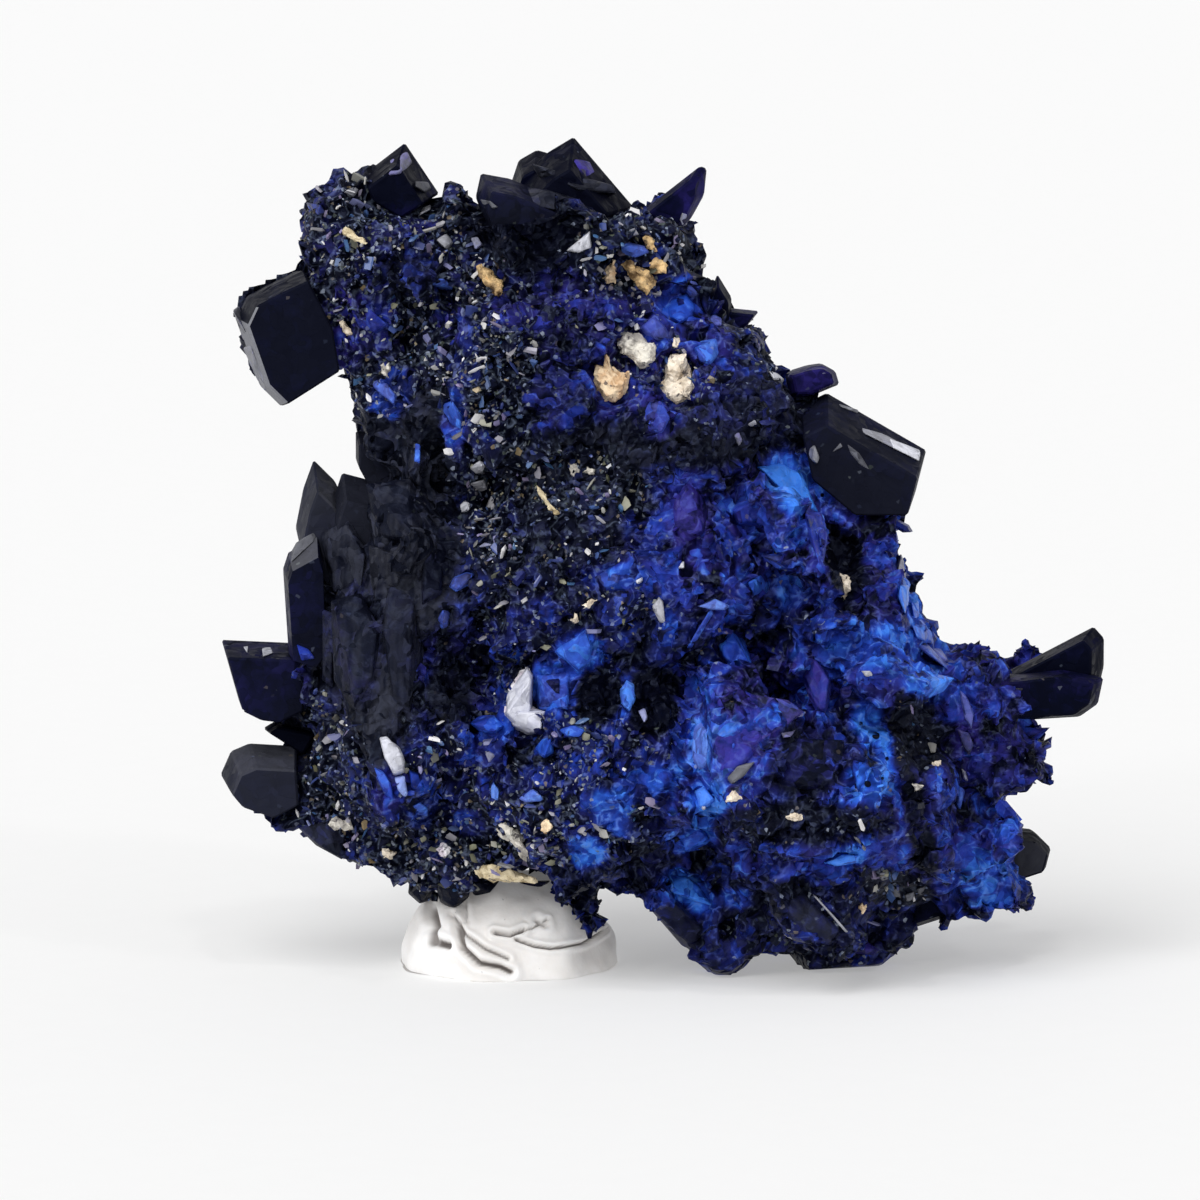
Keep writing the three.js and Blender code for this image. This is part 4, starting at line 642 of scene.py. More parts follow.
class Wire:
    """A node's output. Python sums on it add Math nodes."""

    def __init__(self, nodes, socket):
        self.nodes = nodes
        self.socket = socket

    def sum(self, operation, *values):
        return self.nodes.add("ShaderNodeMath", {"operation": operation}, dict(enumerate(values)))

    def __add__(self, other):
        return self.sum("ADD", self, other)

    def __radd__(self, other):
        return self.sum("ADD", other, self)

    def __sub__(self, other):
        return self.sum("SUBTRACT", self, other)

    def __rsub__(self, other):
        return self.sum("SUBTRACT", other, self)

    def __mul__(self, other):
        return self.sum("MULTIPLY", self, other)

    def __rmul__(self, other):
        return self.sum("MULTIPLY", other, self)

    def __truediv__(self, other):
        return self.sum("DIVIDE", self, other)

    def __rtruediv__(self, other):
        return self.sum("DIVIDE", other, self)

    def __pow__(self, other):
        return self.sum("POWER", self, other)

    def size(self):
        return self.sum("ABSOLUTE", self)

    def between(self, low, high):
        """0 below low, 1 above high and smooth from one to the other."""
        settings = {"interpolation_type": "SMOOTHSTEP"}
        return self.nodes.add("ShaderNodeMapRange", settings, {"Value": self, "From Min": low, "From Max": high})


class Nodes:
    """A node tree under construction."""

    def __init__(self, tree):
        self.tree = tree

    def add(self, kind, settings=None, values=None, out=0):
        """Adds a node of that kind: its settings first, then its sockets' values or links."""
        node = self.tree.nodes.new(kind)
        for key, value in (settings or {}).items():
            if key == "stops":
                self.set_stops(node.color_ramp, value)
            else:
                setattr(node, key, value)
        for key, value in (values or {}).items():
            self.feed(self.find(node.inputs, key), value)
        return Wire(self, self.find(node.outputs, out)) if node.outputs else None

    @staticmethod
    def find(sockets, key):
        if isinstance(key, int):
            return sockets[key]
        named = [socket for socket in sockets if socket.identifier == key]
        named += [socket for socket in sockets if socket.name == key and socket.enabled]
        if not named:
            raise KeyError(f"no socket {key}")
        return named[0]

    @staticmethod
    def set_stops(ramp, stops):
        while len(ramp.elements) < len(stops):
            ramp.elements.new(1.0)
        for element, (place, value) in zip(ramp.elements, stops):
            element.position = place
            element.color = (*value, 1.0)

    def feed(self, socket, value):
        if isinstance(value, Wire):
            self.tree.links.new(value.socket, socket)
        elif socket.type == "RGBA" and len(value) == 3:
            socket.default_value = (*value, 1.0)
        else:
            socket.default_value = value

    def add_output(self, geometry):
        """Ends a geometry tree."""
        self.tree.links.new(geometry.socket, self.tree.nodes.new("NodeGroupOutput").inputs[0])

    def named(self, name):
        """A number stored on the mesh, in a geometry tree."""
        return self.add("GeometryNodeInputNamedAttribute", {"data_type": "FLOAT"}, {"Name": name}, "Attribute")

    def noise(self, place, size, detail=3.0, roughness=0.6, out=0):
        """Noise whose blobs are about that size."""
        values = {"Vector": place, "Scale": 1 / size, "Detail": detail, "Roughness": roughness}
        return self.add("ShaderNodeTexNoise", None, values, out)

    def cells(self, place, size, out):
        """Random cells of about that size."""
        return self.add("ShaderNodeTexVoronoi", None, {"Vector": place, "Scale": 1 / size}, out)

    def red(self, colour):
        """The first part of a colour, as a number."""
        return self.vector("DOT_PRODUCT", colour, (1.0, 0.0, 0.0), out="Value")

    def facets(self, place, size):
        """How high random tilted facets of that size stand, and a random number for each facet."""
        centre = self.cells(place, size, "Position")
        lottery = self.cells(place, size, "Color")
        lean = self.vector("SUBTRACT", lottery, (0.5, 0.5, 0.5))
        slope = self.vector("DOT_PRODUCT", self.vector("SUBTRACT", place, centre), lean, out="Value")
        level = self.vector("DOT_PRODUCT", lean, (0.5, 0.3, 0.4), out="Value")
        return slope * 2.0 + level * size, self.red(lottery)

    def mix(self, factor, a, b):
        """Colour a where factor is 0 and colour b where it is 1."""
        return self.add("ShaderNodeMix", {"data_type": "RGBA"},
                        {"Factor_Float": factor, "A_Color": a, "B_Color": b}, "Result_Color")

    def vector(self, operation, *values, out=0):
        return self.add("ShaderNodeVectorMath", {"operation": operation}, dict(enumerate(values)), out)


def new_material(name):
    """An empty material and its nodes."""
    material = bpy.data.materials.new(name)
    material.use_nodes = True
    material.node_tree.nodes.clear()
    return material, Nodes(material.node_tree)


def finish_material(nodes, values):
    """Adds the Principled shader with those values and the output."""
    shader = nodes.add("ShaderNodeBsdfPrincipled", None, values)
    nodes.add("ShaderNodeOutputMaterial", None, {"Surface": shader})


# ---- finishes -----------------------------------------------------------------------------------

AZURITE_STOPS = [
    (0.00, (0.0014, 0.0018, 0.0070)),
    (0.20, (0.0028, 0.0040, 0.0240)),
    (0.40, (0.0065, 0.0125, 0.1050)),
    (0.60, (0.0110, 0.0360, 0.3000)),
    (0.80, (0.0200, 0.0900, 0.5400)),
    (1.00, (0.0500, 0.2200, 0.8300)),
]
SLATE_DARK = (0.0050, 0.0058, 0.0115)
SLATE_LIGHT = (0.0270, 0.0290, 0.0400)
VIOLET = (0.0520, 0.0300, 0.2700)
PALE = (0.7400, 0.7500, 0.8200)
# Near black for low places and hollows: painted shade.
HOLLOW_SHADE = (0.0014, 0.0016, 0.0060)
RIM = (0.34, 0.42, 0.60)
GLOSS_TINT = (0.50, 0.60, 1.00)


def azurite(name, gloss, facet, cloud_size, shine, veins):
    """Azurite: blue where thin, near black where thick. facet is how far fine facets tilt the surface and
    veins how strongly their rims show."""
    material, nodes = new_material(name)
    place = nodes.add("ShaderNodeTexCoord", out="Object")
    tone = nodes.add("ShaderNodeAttribute", {"attribute_name": "tone"}, out="Color")
    slate = nodes.add("ShaderNodeAttribute", {"attribute_name": "tone"}, out="Alpha")
    azure = nodes.add("ShaderNodeSeparateColor", None, {0: tone}, "Red")
    violet = nodes.add("ShaderNodeSeparateColor", None, {0: tone}, "Green")
    glitter = nodes.add("ShaderNodeSeparateColor", None, {0: tone}, "Blue")
    shade, pale, relief = (nodes.add("ShaderNodeAttribute", {"attribute_name": key}, out="Fac")
                           for key in ("shade", "pale", "relief"))

    cloud = nodes.noise(place, cloud_size, 5.0, 0.62)
    mottle = nodes.noise(place, 0.35 * MM)
    grain = nodes.noise(place, 0.14 * MM, 2.0)
    wander = nodes.vector("SUBTRACT", nodes.noise(place, 1.0 * MM, 1.0, out="Color"), (0.5, 0.5, 0.5))
    bent = nodes.vector("ADD", place, nodes.vector("MULTIPLY", wander, (2.0 * MM, 2.0 * MM, 2.0 * MM)))
    edge = nodes.add("ShaderNodeTexVoronoi", {"feature": "DISTANCE_TO_EDGE"},
                     {"Vector": bent, "Scale": 1 / (0.85 * MM)}, "Distance")
    rim = (1 - edge.between(0.0, 0.11)) * mottle.between(0.42, 0.56) * veins
    height, chance = nodes.facets(bent, 0.60 * MM)
    fine = min(1.0, veins + 0.3)
    # Raised places are painted lighter and low places darker: painted shade.
    blue = azure + relief * (0.12 + azure * 0.30) + (cloud - 0.5) * 0.7 + (mottle - 0.5) * (0.3 * fine)
    blue = blue + (grain - 0.5) * (0.16 * fine) + (chance - 0.5) * (0.36 * fine) + (shade - 0.5) * 0.3
    blue = blue + rim * (0.08 + azure * 0.2)
    body = nodes.add("ShaderNodeValToRGB", {"stops": AZURITE_STOPS}, {0: blue})
    purple = violet * (cloud + mottle * 0.6).between(0.58, 0.95) * blue.between(0.02, 0.42)
    body = nodes.mix(purple * 0.8, body, VIOLET)
    streak = nodes.noise(nodes.vector("MULTIPLY", place, (1.0, 1.0, 0.12)), 0.3 * MM, 1.0)
    streak = (streak - 0.5) * veins + 0.5 + (chance - 0.5) * (0.5 * veins)
    stone = nodes.mix((streak + (shade - 0.5) * 0.3).between(0.4, 0.64), SLATE_DARK, SLATE_LIGHT)
    body = nodes.mix(slate * (1 - blue.between(0.35, 0.7)) * 0.95, body, stone)
    # Low places and hollows turn near black: painted shade.
    body = nodes.mix((relief * -1).between(0.35, 1.3) * 0.85, body, HOLLOW_SHADE)

    # Tiny flecks: the pale and blue ones are painted glints, the olive, ochre and dark ones are specks of the stone's
    # own colour.
    lottery = nodes.cells(place, 0.13 * MM, "Color")
    hue = nodes.add("ShaderNodeSeparateColor", None, {0: lottery}, "Green")
    fleck_colour = nodes.add("ShaderNodeValToRGB", {"stops": [
        (0.0, (0.10, 0.14, 0.30)), (0.4, (0.32, 0.36, 0.44)), (0.55, (0.10, 0.12, 0.08)),
        (0.8, (0.07, 0.09, 0.16)), (1.0, (0.26, 0.20, 0.11))]}, {0: hue})
    fleck = (nodes.red(lottery) + glitter * 0.13 + 0.01).between(1.0, 1.02)
    body = nodes.mix(fleck * 0.75 * (1 - slate * 0.8), body, fleck_colour)
    body = nodes.mix(rim * (0.04 + glitter * 0.18 + azure * 0.13) * (1 - slate * 0.8), body, RIM)
    # Pale: the own colour of white crystals, and a painted highlight on lit faces, glints and sheens.
    body = nodes.mix(pale * (0.82 + (mottle - 0.5) * (0.9 * fine)), body, PALE)

    bump = nodes.add("ShaderNodeBump", None, {"Strength": 1.0, "Distance": 1.0,
                                              "Height": height * facet + (mottle + grain * 0.6) * (0.04 * MM * fine)})
    finish_material(nodes, {
        "Base Color": body,
        "Roughness": gloss + slate * 0.14 + mottle * 0.22 + pale * 0.1,
        "IOR": 1.5,
        "Specular IOR Level": shine,
        "Specular Tint": GLOSS_TINT,
        "Normal": bump,
    })
    return material


def matrix(name, low, high):
    """A sugary matrix grain with dark pits."""
    material, nodes = new_material(name)
    place = nodes.add("ShaderNodeTexCoord", out="Object")
    cloud = nodes.noise(place, 0.5 * MM, 6.0)
    sugar = nodes.cells(place, 0.16 * MM, "Distance")
    stain = nodes.noise(place, 0.3 * MM, 2.0)
    body = nodes.mix(cloud.between(0.36, 0.6), low, high)
    body = nodes.mix(stain.between(0.62, 0.68) * 0.8, body, (0.03, 0.025, 0.04))
    bump = nodes.add("ShaderNodeBump", None, {"Strength": 0.8, "Distance": 0.05 * MM, "Height": sugar + cloud})
    finish_material(nodes, {
        "Base Color": body,
        "Roughness": 0.5 + cloud * 0.35,
        "IOR": 1.5,
        "Normal": bump,
    })
    return material


def crumb(name, stops):
    """Loose-looking specks, each with a colour of its own."""
    material, nodes = new_material(name)
    shade = nodes.add("ShaderNodeAttribute", {"attribute_name": "shade"}, out="Fac")
    body = nodes.add("ShaderNodeValToRGB", {"stops": stops}, {0: shade})
    finish_material(nodes, {"Base Color": body, "Roughness": 0.25 + shade * 0.4, "IOR": 1.55})
    return material


def putty_finish():
    """Off-white putty, a little see-through. Its creases and its top under the rock are darkened as painted shade, and
    it glows faintly as painted light.
    """
    material, nodes = new_material("display putty")
    place = nodes.add("ShaderNodeTexCoord", out="Object")
    crease = nodes.add("ShaderNodeAttribute", {"attribute_name": "crease"}, out="Fac")
    cloud = nodes.noise(place, 2.2 * MM, 4.0)
    lint = nodes.noise(place, 0.22 * MM, 2.0)
    body = nodes.mix(cloud.between(0.35, 0.65), (0.72, 0.70, 0.68), (0.84, 0.83, 0.82))
    # Creases and the top under the rock are darkened: painted shade.
    body = nodes.mix(crease * 0.85, body, (0.14, 0.12, 0.11))
    body = nodes.mix(lint.between(0.72, 0.76) * 0.5, body, (0.12, 0.12, 0.14))
    bump = nodes.add("ShaderNodeBump", None, {"Strength": 0.5, "Distance": 0.1 * MM, "Height": cloud + lint * 0.3})
    # The putty glows faintly, less in its creases: painted light.
    finish_material(nodes, {
        "Base Color": body,
        "Roughness": 0.38 + cloud * 0.3,
        "Subsurface Weight": 0.35,
        "Subsurface Radius": (1.0, 0.9, 0.8),
        "Subsurface Scale": 1.2 * MM,
        "Emission Color": nodes.mix(crease, (1.0, 0.98, 0.96), (0.10, 0.07, 0.06)),
        "Emission Strength": 0.1,
        "IOR": 1.48,
        "Normal": bump,
    })
    return material


def floor_finish(tint):
    """A plain pale floor, lit a little from below."""
    material, nodes = new_material("floor")
    place = nodes.add("ShaderNodeTexCoord", out="Object")
    grain = nodes.noise(place, 1.4 * MM)
    body = nodes.mix(grain.between(0.3, 0.7) * 0.25, tint, tuple(0.97 * part for part in tint))
    finish_material(nodes, {"Base Color": body, "Roughness": 0.8, "Specular IOR Level": 0.2,
                            "Emission Color": (1.0, 1.0, 1.0), "Emission Strength": 0.335})
    return material


# ---- mesh helpers -------------------------------------------------------------------------------

def new_object(name, mesh, material, flat=True):
    """Links a mesh as an object at the origin, with one material."""
    mesh.materials.clear()
    mesh.materials.append(material)
    if flat:
        mesh.shade_flat()
    else:
        mesh.shade_smooth()
    piece = bpy.data.objects.new(name, mesh)
    bpy.context.scene.collection.objects.link(piece)
    return piece


def finish_piece(piece, slot, *nodes):
    """Hangs a finished piece on the one body, and hides the nodes of the frame that it stands for."""
    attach(piece, "root")
    if nodes:
        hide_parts(*nodes)


def frame_mesh(node):
    """A merged copy of a frame node's mesh."""
    work = bmesh.new()
    work.from_mesh(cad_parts[node].data)
    bmesh.ops.remove_doubles(work, verts=work.verts, dist=0.002 * MM)
    mesh = bpy.data.meshes.new(f"{node} copy")
    work.to_mesh(mesh)
    work.free()
    return mesh


def hull(corners):
    """A bmesh of the convex hull of some corners, with its flat faces in one piece."""
    work = bmesh.new()
    for corner in corners:
        work.verts.new(corner)
    made = bmesh.ops.convex_hull(work, input=work.verts)
    loose = [item for item in made["geom_interior"] + made["geom_unused"] if isinstance(item, bmesh.types.BMVert)]
    bmesh.ops.delete(work, geom=list(set(loose)), context="VERTS")
    bmesh.ops.dissolve_limit(work, angle_limit=math.radians(2.0), verts=work.verts, edges=work.edges)
    bmesh.ops.recalc_face_normals(work, faces=work.faces)
    return work


def coordinates(mesh):
    """The vertices of a mesh as rows, in millimetres."""
    rows = np.empty(len(mesh.vertices) * 3)
    mesh.vertices.foreach_get("co", rows)
    return rows.reshape(-1, 3) / MM


def write_values(mesh, name, values):
    """Stores one number for each vertex under that name."""
    layer = mesh.attributes.get(name) or mesh.attributes.new(name, "FLOAT", "POINT")
    layer.data.foreach_set("value", np.ascontiguousarray(values, dtype=np.float32))


def write_tones(mesh, tones):
    """Stores azure, violet, glitter and slate for each vertex."""
    layer = mesh.attributes.get("tone") or mesh.attributes.new("tone", "FLOAT_COLOR", "POINT")
    layer.data.foreach_set("color", np.ascontiguousarray(tones, dtype=np.float32).ravel())


def smooth(low, high, values):
    """0 below low, 1 above high and smooth from one to the other, for an array."""
    t = np.clip((values - low) / (high - low), 0.0, 1.0)
    return t * t * (3 - 2 * t)


def tones_at(points):
    """Azure, violet, glitter and slate at points in millimetres. Later zones of a table cover earlier ones."""
    x, y, z = points.T
    w = z * math.cos(VIEW_TILT) + y * math.sin(VIEW_TILT)
    front = smooth(1.5, -1.5, y)
    navy = smooth(-5.0, 4.0, x) * smooth(26.0, 19.0, z)
    tones = np.stack([0.12 + 0.12 * navy, 0.04 + 0.12 * navy, 0.1 * (1 - navy), 0.3 * smooth(-3.0, -8.0, x)], axis=1)
    for side, rows in ((front, FRONT_TONES), (1 - front, BACK_TONES)):
        for u, height, half_u, half_w, lean, *amounts in rows:
            turn = math.radians(lean)
            across = (x - u) * math.cos(turn) + (w - height) * math.sin(turn)
            along = (w - height) * math.cos(turn) - (x - u) * math.sin(turn)
            weight = side * smooth(1.3, 0.75, np.hypot(across / half_u, along / half_w))
            tones += weight[:, None] * (np.array(amounts) - tones)
    return tones


def dents_at(points, rows):
    """How deep each point lies in the round dents of a table, in millimetres."""
    x, y, z = points.T
    w = z * math.cos(VIEW_TILT) + y * math.sin(VIEW_TILT)
    dent = np.zeros(len(points))
    for u, height, radius, depth in rows:
        dent = np.maximum(dent, depth * smooth(1.25, 0.75, np.hypot(x - u, w - height) / radius))
    return dent * smooth(5.0, 3.0, y)


def circle(u, w, radius):
    """A seen circle, as eight corners."""
    return [(u + radius * math.cos(k * math.pi / 4), w + radius * math.sin(k * math.pi / 4)) for k in range(8)]


def paint(mesh):
    """Gives every vertex of a mesh the tones of its place."""
    write_tones(mesh, tones_at(coordinates(mesh)))


def smooth_where_blue(mesh):
    """Shades the bright blue parts of a mesh smooth and leaves facets in the dark ones."""
    azure = tones_at(coordinates(mesh))[:, 0]
    corners = np.empty(len(mesh.loops), dtype=np.int32)
    mesh.loops.foreach_get("vertex_index", corners)
    starts = np.empty(len(mesh.polygons), dtype=np.int32)
    mesh.polygons.foreach_get("loop_start", starts)
    mesh.polygons.foreach_set("use_smooth", azure[corners[starts]] > 0.22)


# ---- large crystals -----------------------------------------------------------------------------

WAIST = 0.45  # where a large crystal is widest, as a share of its depth from the front


def plate_corners(depth, inset, shift, outline):
    """The corners of a large crystal, in metres."""
    near, far = depth
    middle_x = sum(x for x, _ in outline) / len(outline)
    middle_z = sum(z for _, z in outline) / len(outline)
    rings = [
        (near, 1 - inset, shift),
        (near + (far - near) * WAIST, 1.0, (0.0, 0.0)),
        (far, 1 - inset, (-shift[0], shift[1])),
    ]
    return [
        Vector((middle_x + (x - middle_x) * scale + dx, y, middle_z + (z - middle_z) * scale + dz)) * MM
        for y, scale, (dx, dz) in rings
        for x, z in outline
    ]


def add_crystal(target, corners, bevel, values, lit=None):
    """Adds a bevelled crystal to a bmesh. Its faces that look along lit's direction are pale."""
    work = hull(corners)
    bmesh.ops.bevel(work, geom=work.edges[:], offset=bevel, segments=1, affect="EDGES", clamp_overlap=True)
    bmesh.ops.recalc_face_normals(work, faces=work.faces)
    shade = work.verts.layers.float.new("shade")
    tone = work.verts.layers.float_color.new("tone")
    pale = work.faces.layers.float.new("pale")
    for vertex in work.verts:
        vertex[shade] = values["shade"]
        vertex[tone] = values["tone"]
    for face in work.faces:
        face[pale] = values["pale"]
        if lit and face.normal.dot(Vector(lit[0]).normalized()) > 0.8:
            face[pale] = lit[1]
    mesh = bpy.data.meshes.new("crystal")
    work.to_mesh(mesh)
    work.free()
    target.from_mesh(mesh)
    bpy.data.meshes.remove(mesh)


def empty_cluster():
    """A bmesh with the layers that crystals carry."""
    work = bmesh.new()
    work.verts.layers.float.new("shade")
    work.verts.layers.float_color.new("tone")
    work.faces.layers.float.new("pale")
    return work


def build_large_crystals(settings):
    work = empty_cluster()
    dice = random.Random(11)
    for name, (depth, inset, shift, outline, (azure, violet, slate)) in CRYSTALS.items():
        values = {"shade": dice.random(), "pale": 0.0, "tone": (azure, violet, 0.0, slate)}
        add_crystal(work, plate_corners(depth, inset, shift, outline), settings.bevel, values, LIT_FACES.get(name))
    return work


def crystal_planes():
    """The face planes of every large crystal, each as an array of normal and offset, in millimetres."""
    planes = []
    for depth, inset, shift, outline, _ in CRYSTALS.values():
        work = hull(plate_corners(depth, inset, shift, outline))
        work.normal_update()
        planes.append(np.array([(*face.normal, face.normal.dot(face.verts[0].co) / MM) for face in work.faces]))
        work.free()
    return planes


def depth_outside_crystals(points):
    """How far each point, in millimetres, lies outside the nearest large crystal. Inside it is below 0."""
    nearest = np.full(len(points), 99.0)
    for planes in crystal_planes():
        beyond = points @ planes[:, :3].T - planes[:, 3]
        nearest = np.minimum(nearest, beyond.max(axis=1))
    return nearest


# ---- geometry node trees ------------------------------------------------------------------------

def new_tree(name, inputs):
    """A geometry node tree with a Geometry input and output and the named inputs. Returns its nodes and wires."""
    tree = bpy.data.node_groups.new(name, "GeometryNodeTree")
    tree.interface.new_socket("Geometry", in_out="OUTPUT", socket_type="NodeSocketGeometry")
    tree.interface.new_socket("Geometry", in_out="INPUT", socket_type="NodeSocketGeometry")
    for label, kind in inputs.items():
        tree.interface.new_socket(label, in_out="INPUT", socket_type=kind)
    nodes = Nodes(tree)
    source = tree.nodes.new("NodeGroupInput")
    return nodes, {socket.name: Wire(nodes, socket) for socket in source.outputs if socket.name}


def run_tree(piece, nodes, values):
    """Runs a tree on an object and returns the result as a plain mesh."""
    modifier = piece.modifiers.new("tree", "NODES")
    modifier.node_group = nodes.tree
    for item in nodes.tree.interface.items_tree:
        if item.in_out == "INPUT" and item.name in values:
            modifier[item.identifier] = values[item.name]
    view = bpy.context.evaluated_depsgraph_get()
    mesh = bpy.data.meshes.new_from_object(piece.evaluated_get(view), preserve_all_data_layers=True, depsgraph=view)
    piece.modifiers.remove(modifier)
    return mesh


def relief_tree():
    """Breaks a surface into tilted facets, ragged ridges and pits. Numbers stored on the mesh say where it
    stays soft, where the facets run upright, where it is hollow and how much of this it gets at all."""
    nodes, given = new_tree("broken relief", {
        "Coarse Facet": "NodeSocketFloat", "Coarse Relief": "NodeSocketFloat",
        "Fine Facet": "NodeSocketFloat", "Fine Relief": "NodeSocketFloat",
        "Ridge Size": "NodeSocketFloat", "Ridge Height": "NodeSocketFloat",
        "Pit Size": "NodeSocketFloat", "Pit Depth": "NodeSocketFloat",
        "Sink": "NodeSocketFloat", "Bury": "NodeSocketFloat", "Material": "NodeSocketMaterial",
    })
    place = nodes.add("GeometryNodeInputPosition")
    normal = nodes.add("GeometryNodeInputNormal")
    wander = nodes.vector("SUBTRACT", nodes.noise(place, 1.3 * MM, 1.0, out="Color"), (0.5, 0.5, 0.5))
    place = nodes.vector("ADD", place, nodes.vector("MULTIPLY", wander, (1.6 * MM, 1.6 * MM, 1.6 * MM)))
    upright = nodes.vector("MULTIPLY", place, (1.0, 1.0, 0.25))
    rise = 0.0
    for size, relief in (("Coarse Facet", "Coarse Relief"), ("Fine Facet", "Fine Relief")):
        plain, shade = nodes.facets(place, given[size])
        tall, _ = nodes.facets(upright, given[size])
        rise = (plain + (tall - plain) * nodes.named("streak")) * given[relief] + rise
    ridge = 1 - (nodes.noise(place, given["Ridge Size"], 2.0, 0.5) * 2 - 1).size()
    rise = rise + (ridge - 0.78) * given["Ridge Height"]
    rise = rise * (1 - nodes.named("soft") * 0.75)
    pit = 1 - nodes.cells(place, given["Pit Size"], "Distance").between(0.10, 0.40)
    pit = pit * nodes.noise(place, 5.0 * MM, 1.0).between(0.46, 0.6) * (1 - nodes.named("streak"))
    down = pit * given["Pit Depth"] + nodes.named("hollow") * MM
    total = rise - down - given["Sink"] - nodes.named("trim") * MM
    total = total * nodes.named("lift") * (1 - nodes.named("buried"))
    total = total - nodes.named("buried") * given["Bury"]
    offset = nodes.add("ShaderNodeVectorMath", {"operation": "SCALE"}, {0: normal, "Scale": total})
    moved = nodes.add("GeometryNodeSetPosition", None, {"Geometry": given["Geometry"], "Offset": offset})
    # The height stored as relief lets the finish paint raised places lighter and low ones darker: painted shade.
    for name, value in (("relief", (rise - down) / (0.35 * MM)), ("shade", shade)):
        moved = nodes.add("GeometryNodeStoreNamedAttribute", {"data_type": "FLOAT", "domain": "POINT"},
                          {"Geometry": moved, "Name": name, "Value": value})
    realized = nodes.add("GeometryNodeRealizeInstances", None, {"Geometry": moved})
    done = nodes.add("GeometryNodeSetMaterial", None, {"Geometry": realized, "Material": given["Material"]})
    nodes.add_output(done)
    return nodes


def scatter_tree():
    """Grows small crystals out of a surface. Neighbours lean the same way, as they do in a real druse."""
    nodes, given = new_tree("druse", {
        "Shapes": "NodeSocketCollection", "Cover": "NodeSocketString", "Spacing": "NodeSocketFloat",
        "Smallest": "NodeSocketFloat", "Largest": "NodeSocketFloat", "Lean": "NodeSocketFloat",
        "Sink": "NodeSocketFloat", "Seed": "NodeSocketInt", "Material": "NodeSocketMaterial",
    })
    cover = nodes.add("GeometryNodeInputNamedAttribute", {"data_type": "FLOAT"}, {"Name": given["Cover"]}, "Attribute")
    settings = {"distribute_method": "POISSON"}
    values = {"Mesh": given["Geometry"], "Distance Min": given["Spacing"], "Density Max": 4.0e7,
              "Density Factor": cover, "Seed": given["Seed"]}
    spread = nodes.add("GeometryNodeDistributePointsOnFaces", settings, values, "Points")
    upright = Wire(nodes, nodes.find(spread.socket.node.outputs, "Rotation"))
    place = nodes.add("GeometryNodeInputPosition")
    drift = nodes.add("ShaderNodeTexNoise", None, {"Vector": place, "Scale": 1 / (3.5 * MM), "Detail": 1.0}, "Color")
    drift = nodes.vector("SUBTRACT", drift, (0.5, 0.5, 0.5))
    jitter = nodes.add("FunctionNodeRandomValue", {"data_type": "FLOAT_VECTOR"},
                       {"Min": (-0.5, -0.5, -0.5), "Max": (0.5, 0.5, 0.5), "Seed": given["Seed"]})
    lean = nodes.vector("ADD", nodes.vector("MULTIPLY", drift, (4.5, 4.5, 22.0)), nodes.vector(
        "MULTIPLY", jitter, (0.9, 0.9, 1.6)))
    lean = nodes.add("ShaderNodeVectorMath", {"operation": "SCALE"}, {0: lean, "Scale": given["Lean"]})
    turn = nodes.add("FunctionNodeEulerToRotation", None, {0: lean})
    rotation = nodes.add("FunctionNodeRotateRotation", {"rotation_space": "LOCAL"}, {0: upright, 1: turn})
    draw = nodes.add("FunctionNodeRandomValue", {"data_type": "FLOAT"}, {"Seed": given["Seed"] + 1}, "Value_001")
    size = given["Smallest"] + (given["Largest"] - given["Smallest"]) * draw ** 1.8
    pick = nodes.add("FunctionNodeRandomValue", {"data_type": "INT"}, {
        "Min_002": 0, "Max_002": 999, "Seed": given["Seed"] + 2}, "Value_002")
    shapes = nodes.add("GeometryNodeCollectionInfo", {"transform_space": "ORIGINAL"}, {
        "Collection": given["Shapes"], "Separate Children": True, "Reset Children": True})
    grown = nodes.add("GeometryNodeInstanceOnPoints", None, {
        "Points": spread, "Instance": shapes, "Pick Instance": True, "Instance Index": pick,
        "Rotation": rotation, "Scale": size})
    push = nodes.add("ShaderNodeCombineXYZ", None, {"Z": given["Sink"] * -1.0 * size})
    sunk = nodes.add("GeometryNodeTranslateInstances", None, {"Instances": grown, "Translation": push, "Local Space": True})
    shade = nodes.add("FunctionNodeRandomValue", {"data_type": "FLOAT"}, {"Seed": given["Seed"] + 3}, "Value_001")
    marked = nodes.add("GeometryNodeStoreNamedAttribute", {"data_type": "FLOAT", "domain": "INSTANCE"}, {
        "Geometry": sunk, "Name": "shade", "Value": shade})
    realized = nodes.add("GeometryNodeRealizeInstances", None, {"Geometry": marked})
    done = nodes.add("GeometryNodeSetMaterial", None, {"Geometry": realized, "Material": given["Material"]})
    nodes.add_output(done)
    return nodes


# ---- small crystals -----------------------------------------------------------------------------

def shape_mesh(name, corners):
    """A small closed shape from its corners."""
    work = hull([Vector(corner) for corner in corners])
    mesh = bpy.data.meshes.new(name)
    work.to_mesh(mesh)
    work.free()
    mesh.shade_flat()
    return mesh


def blade_corners(width, thick, shoulder, edge):
    """A flat crystal one unit long that ends in a slanted edge, half of it below its root."""
    section = [(0.5, 0.0), (0.3, 0.5), (-0.3, 0.5), (-0.5, 0.0), (-0.3, -0.5), (0.3, -0.5)]
    low = [(x * width * 0.8, y * thick * 0.8, -0.5) for x, y in section]
    high = [(x * width, y * thick, shoulder + 0.12 * x) for x, y in section]
    return low + high + [(-edge * width, 0.0, 0.62), (edge * width, 0.0, 0.7)]


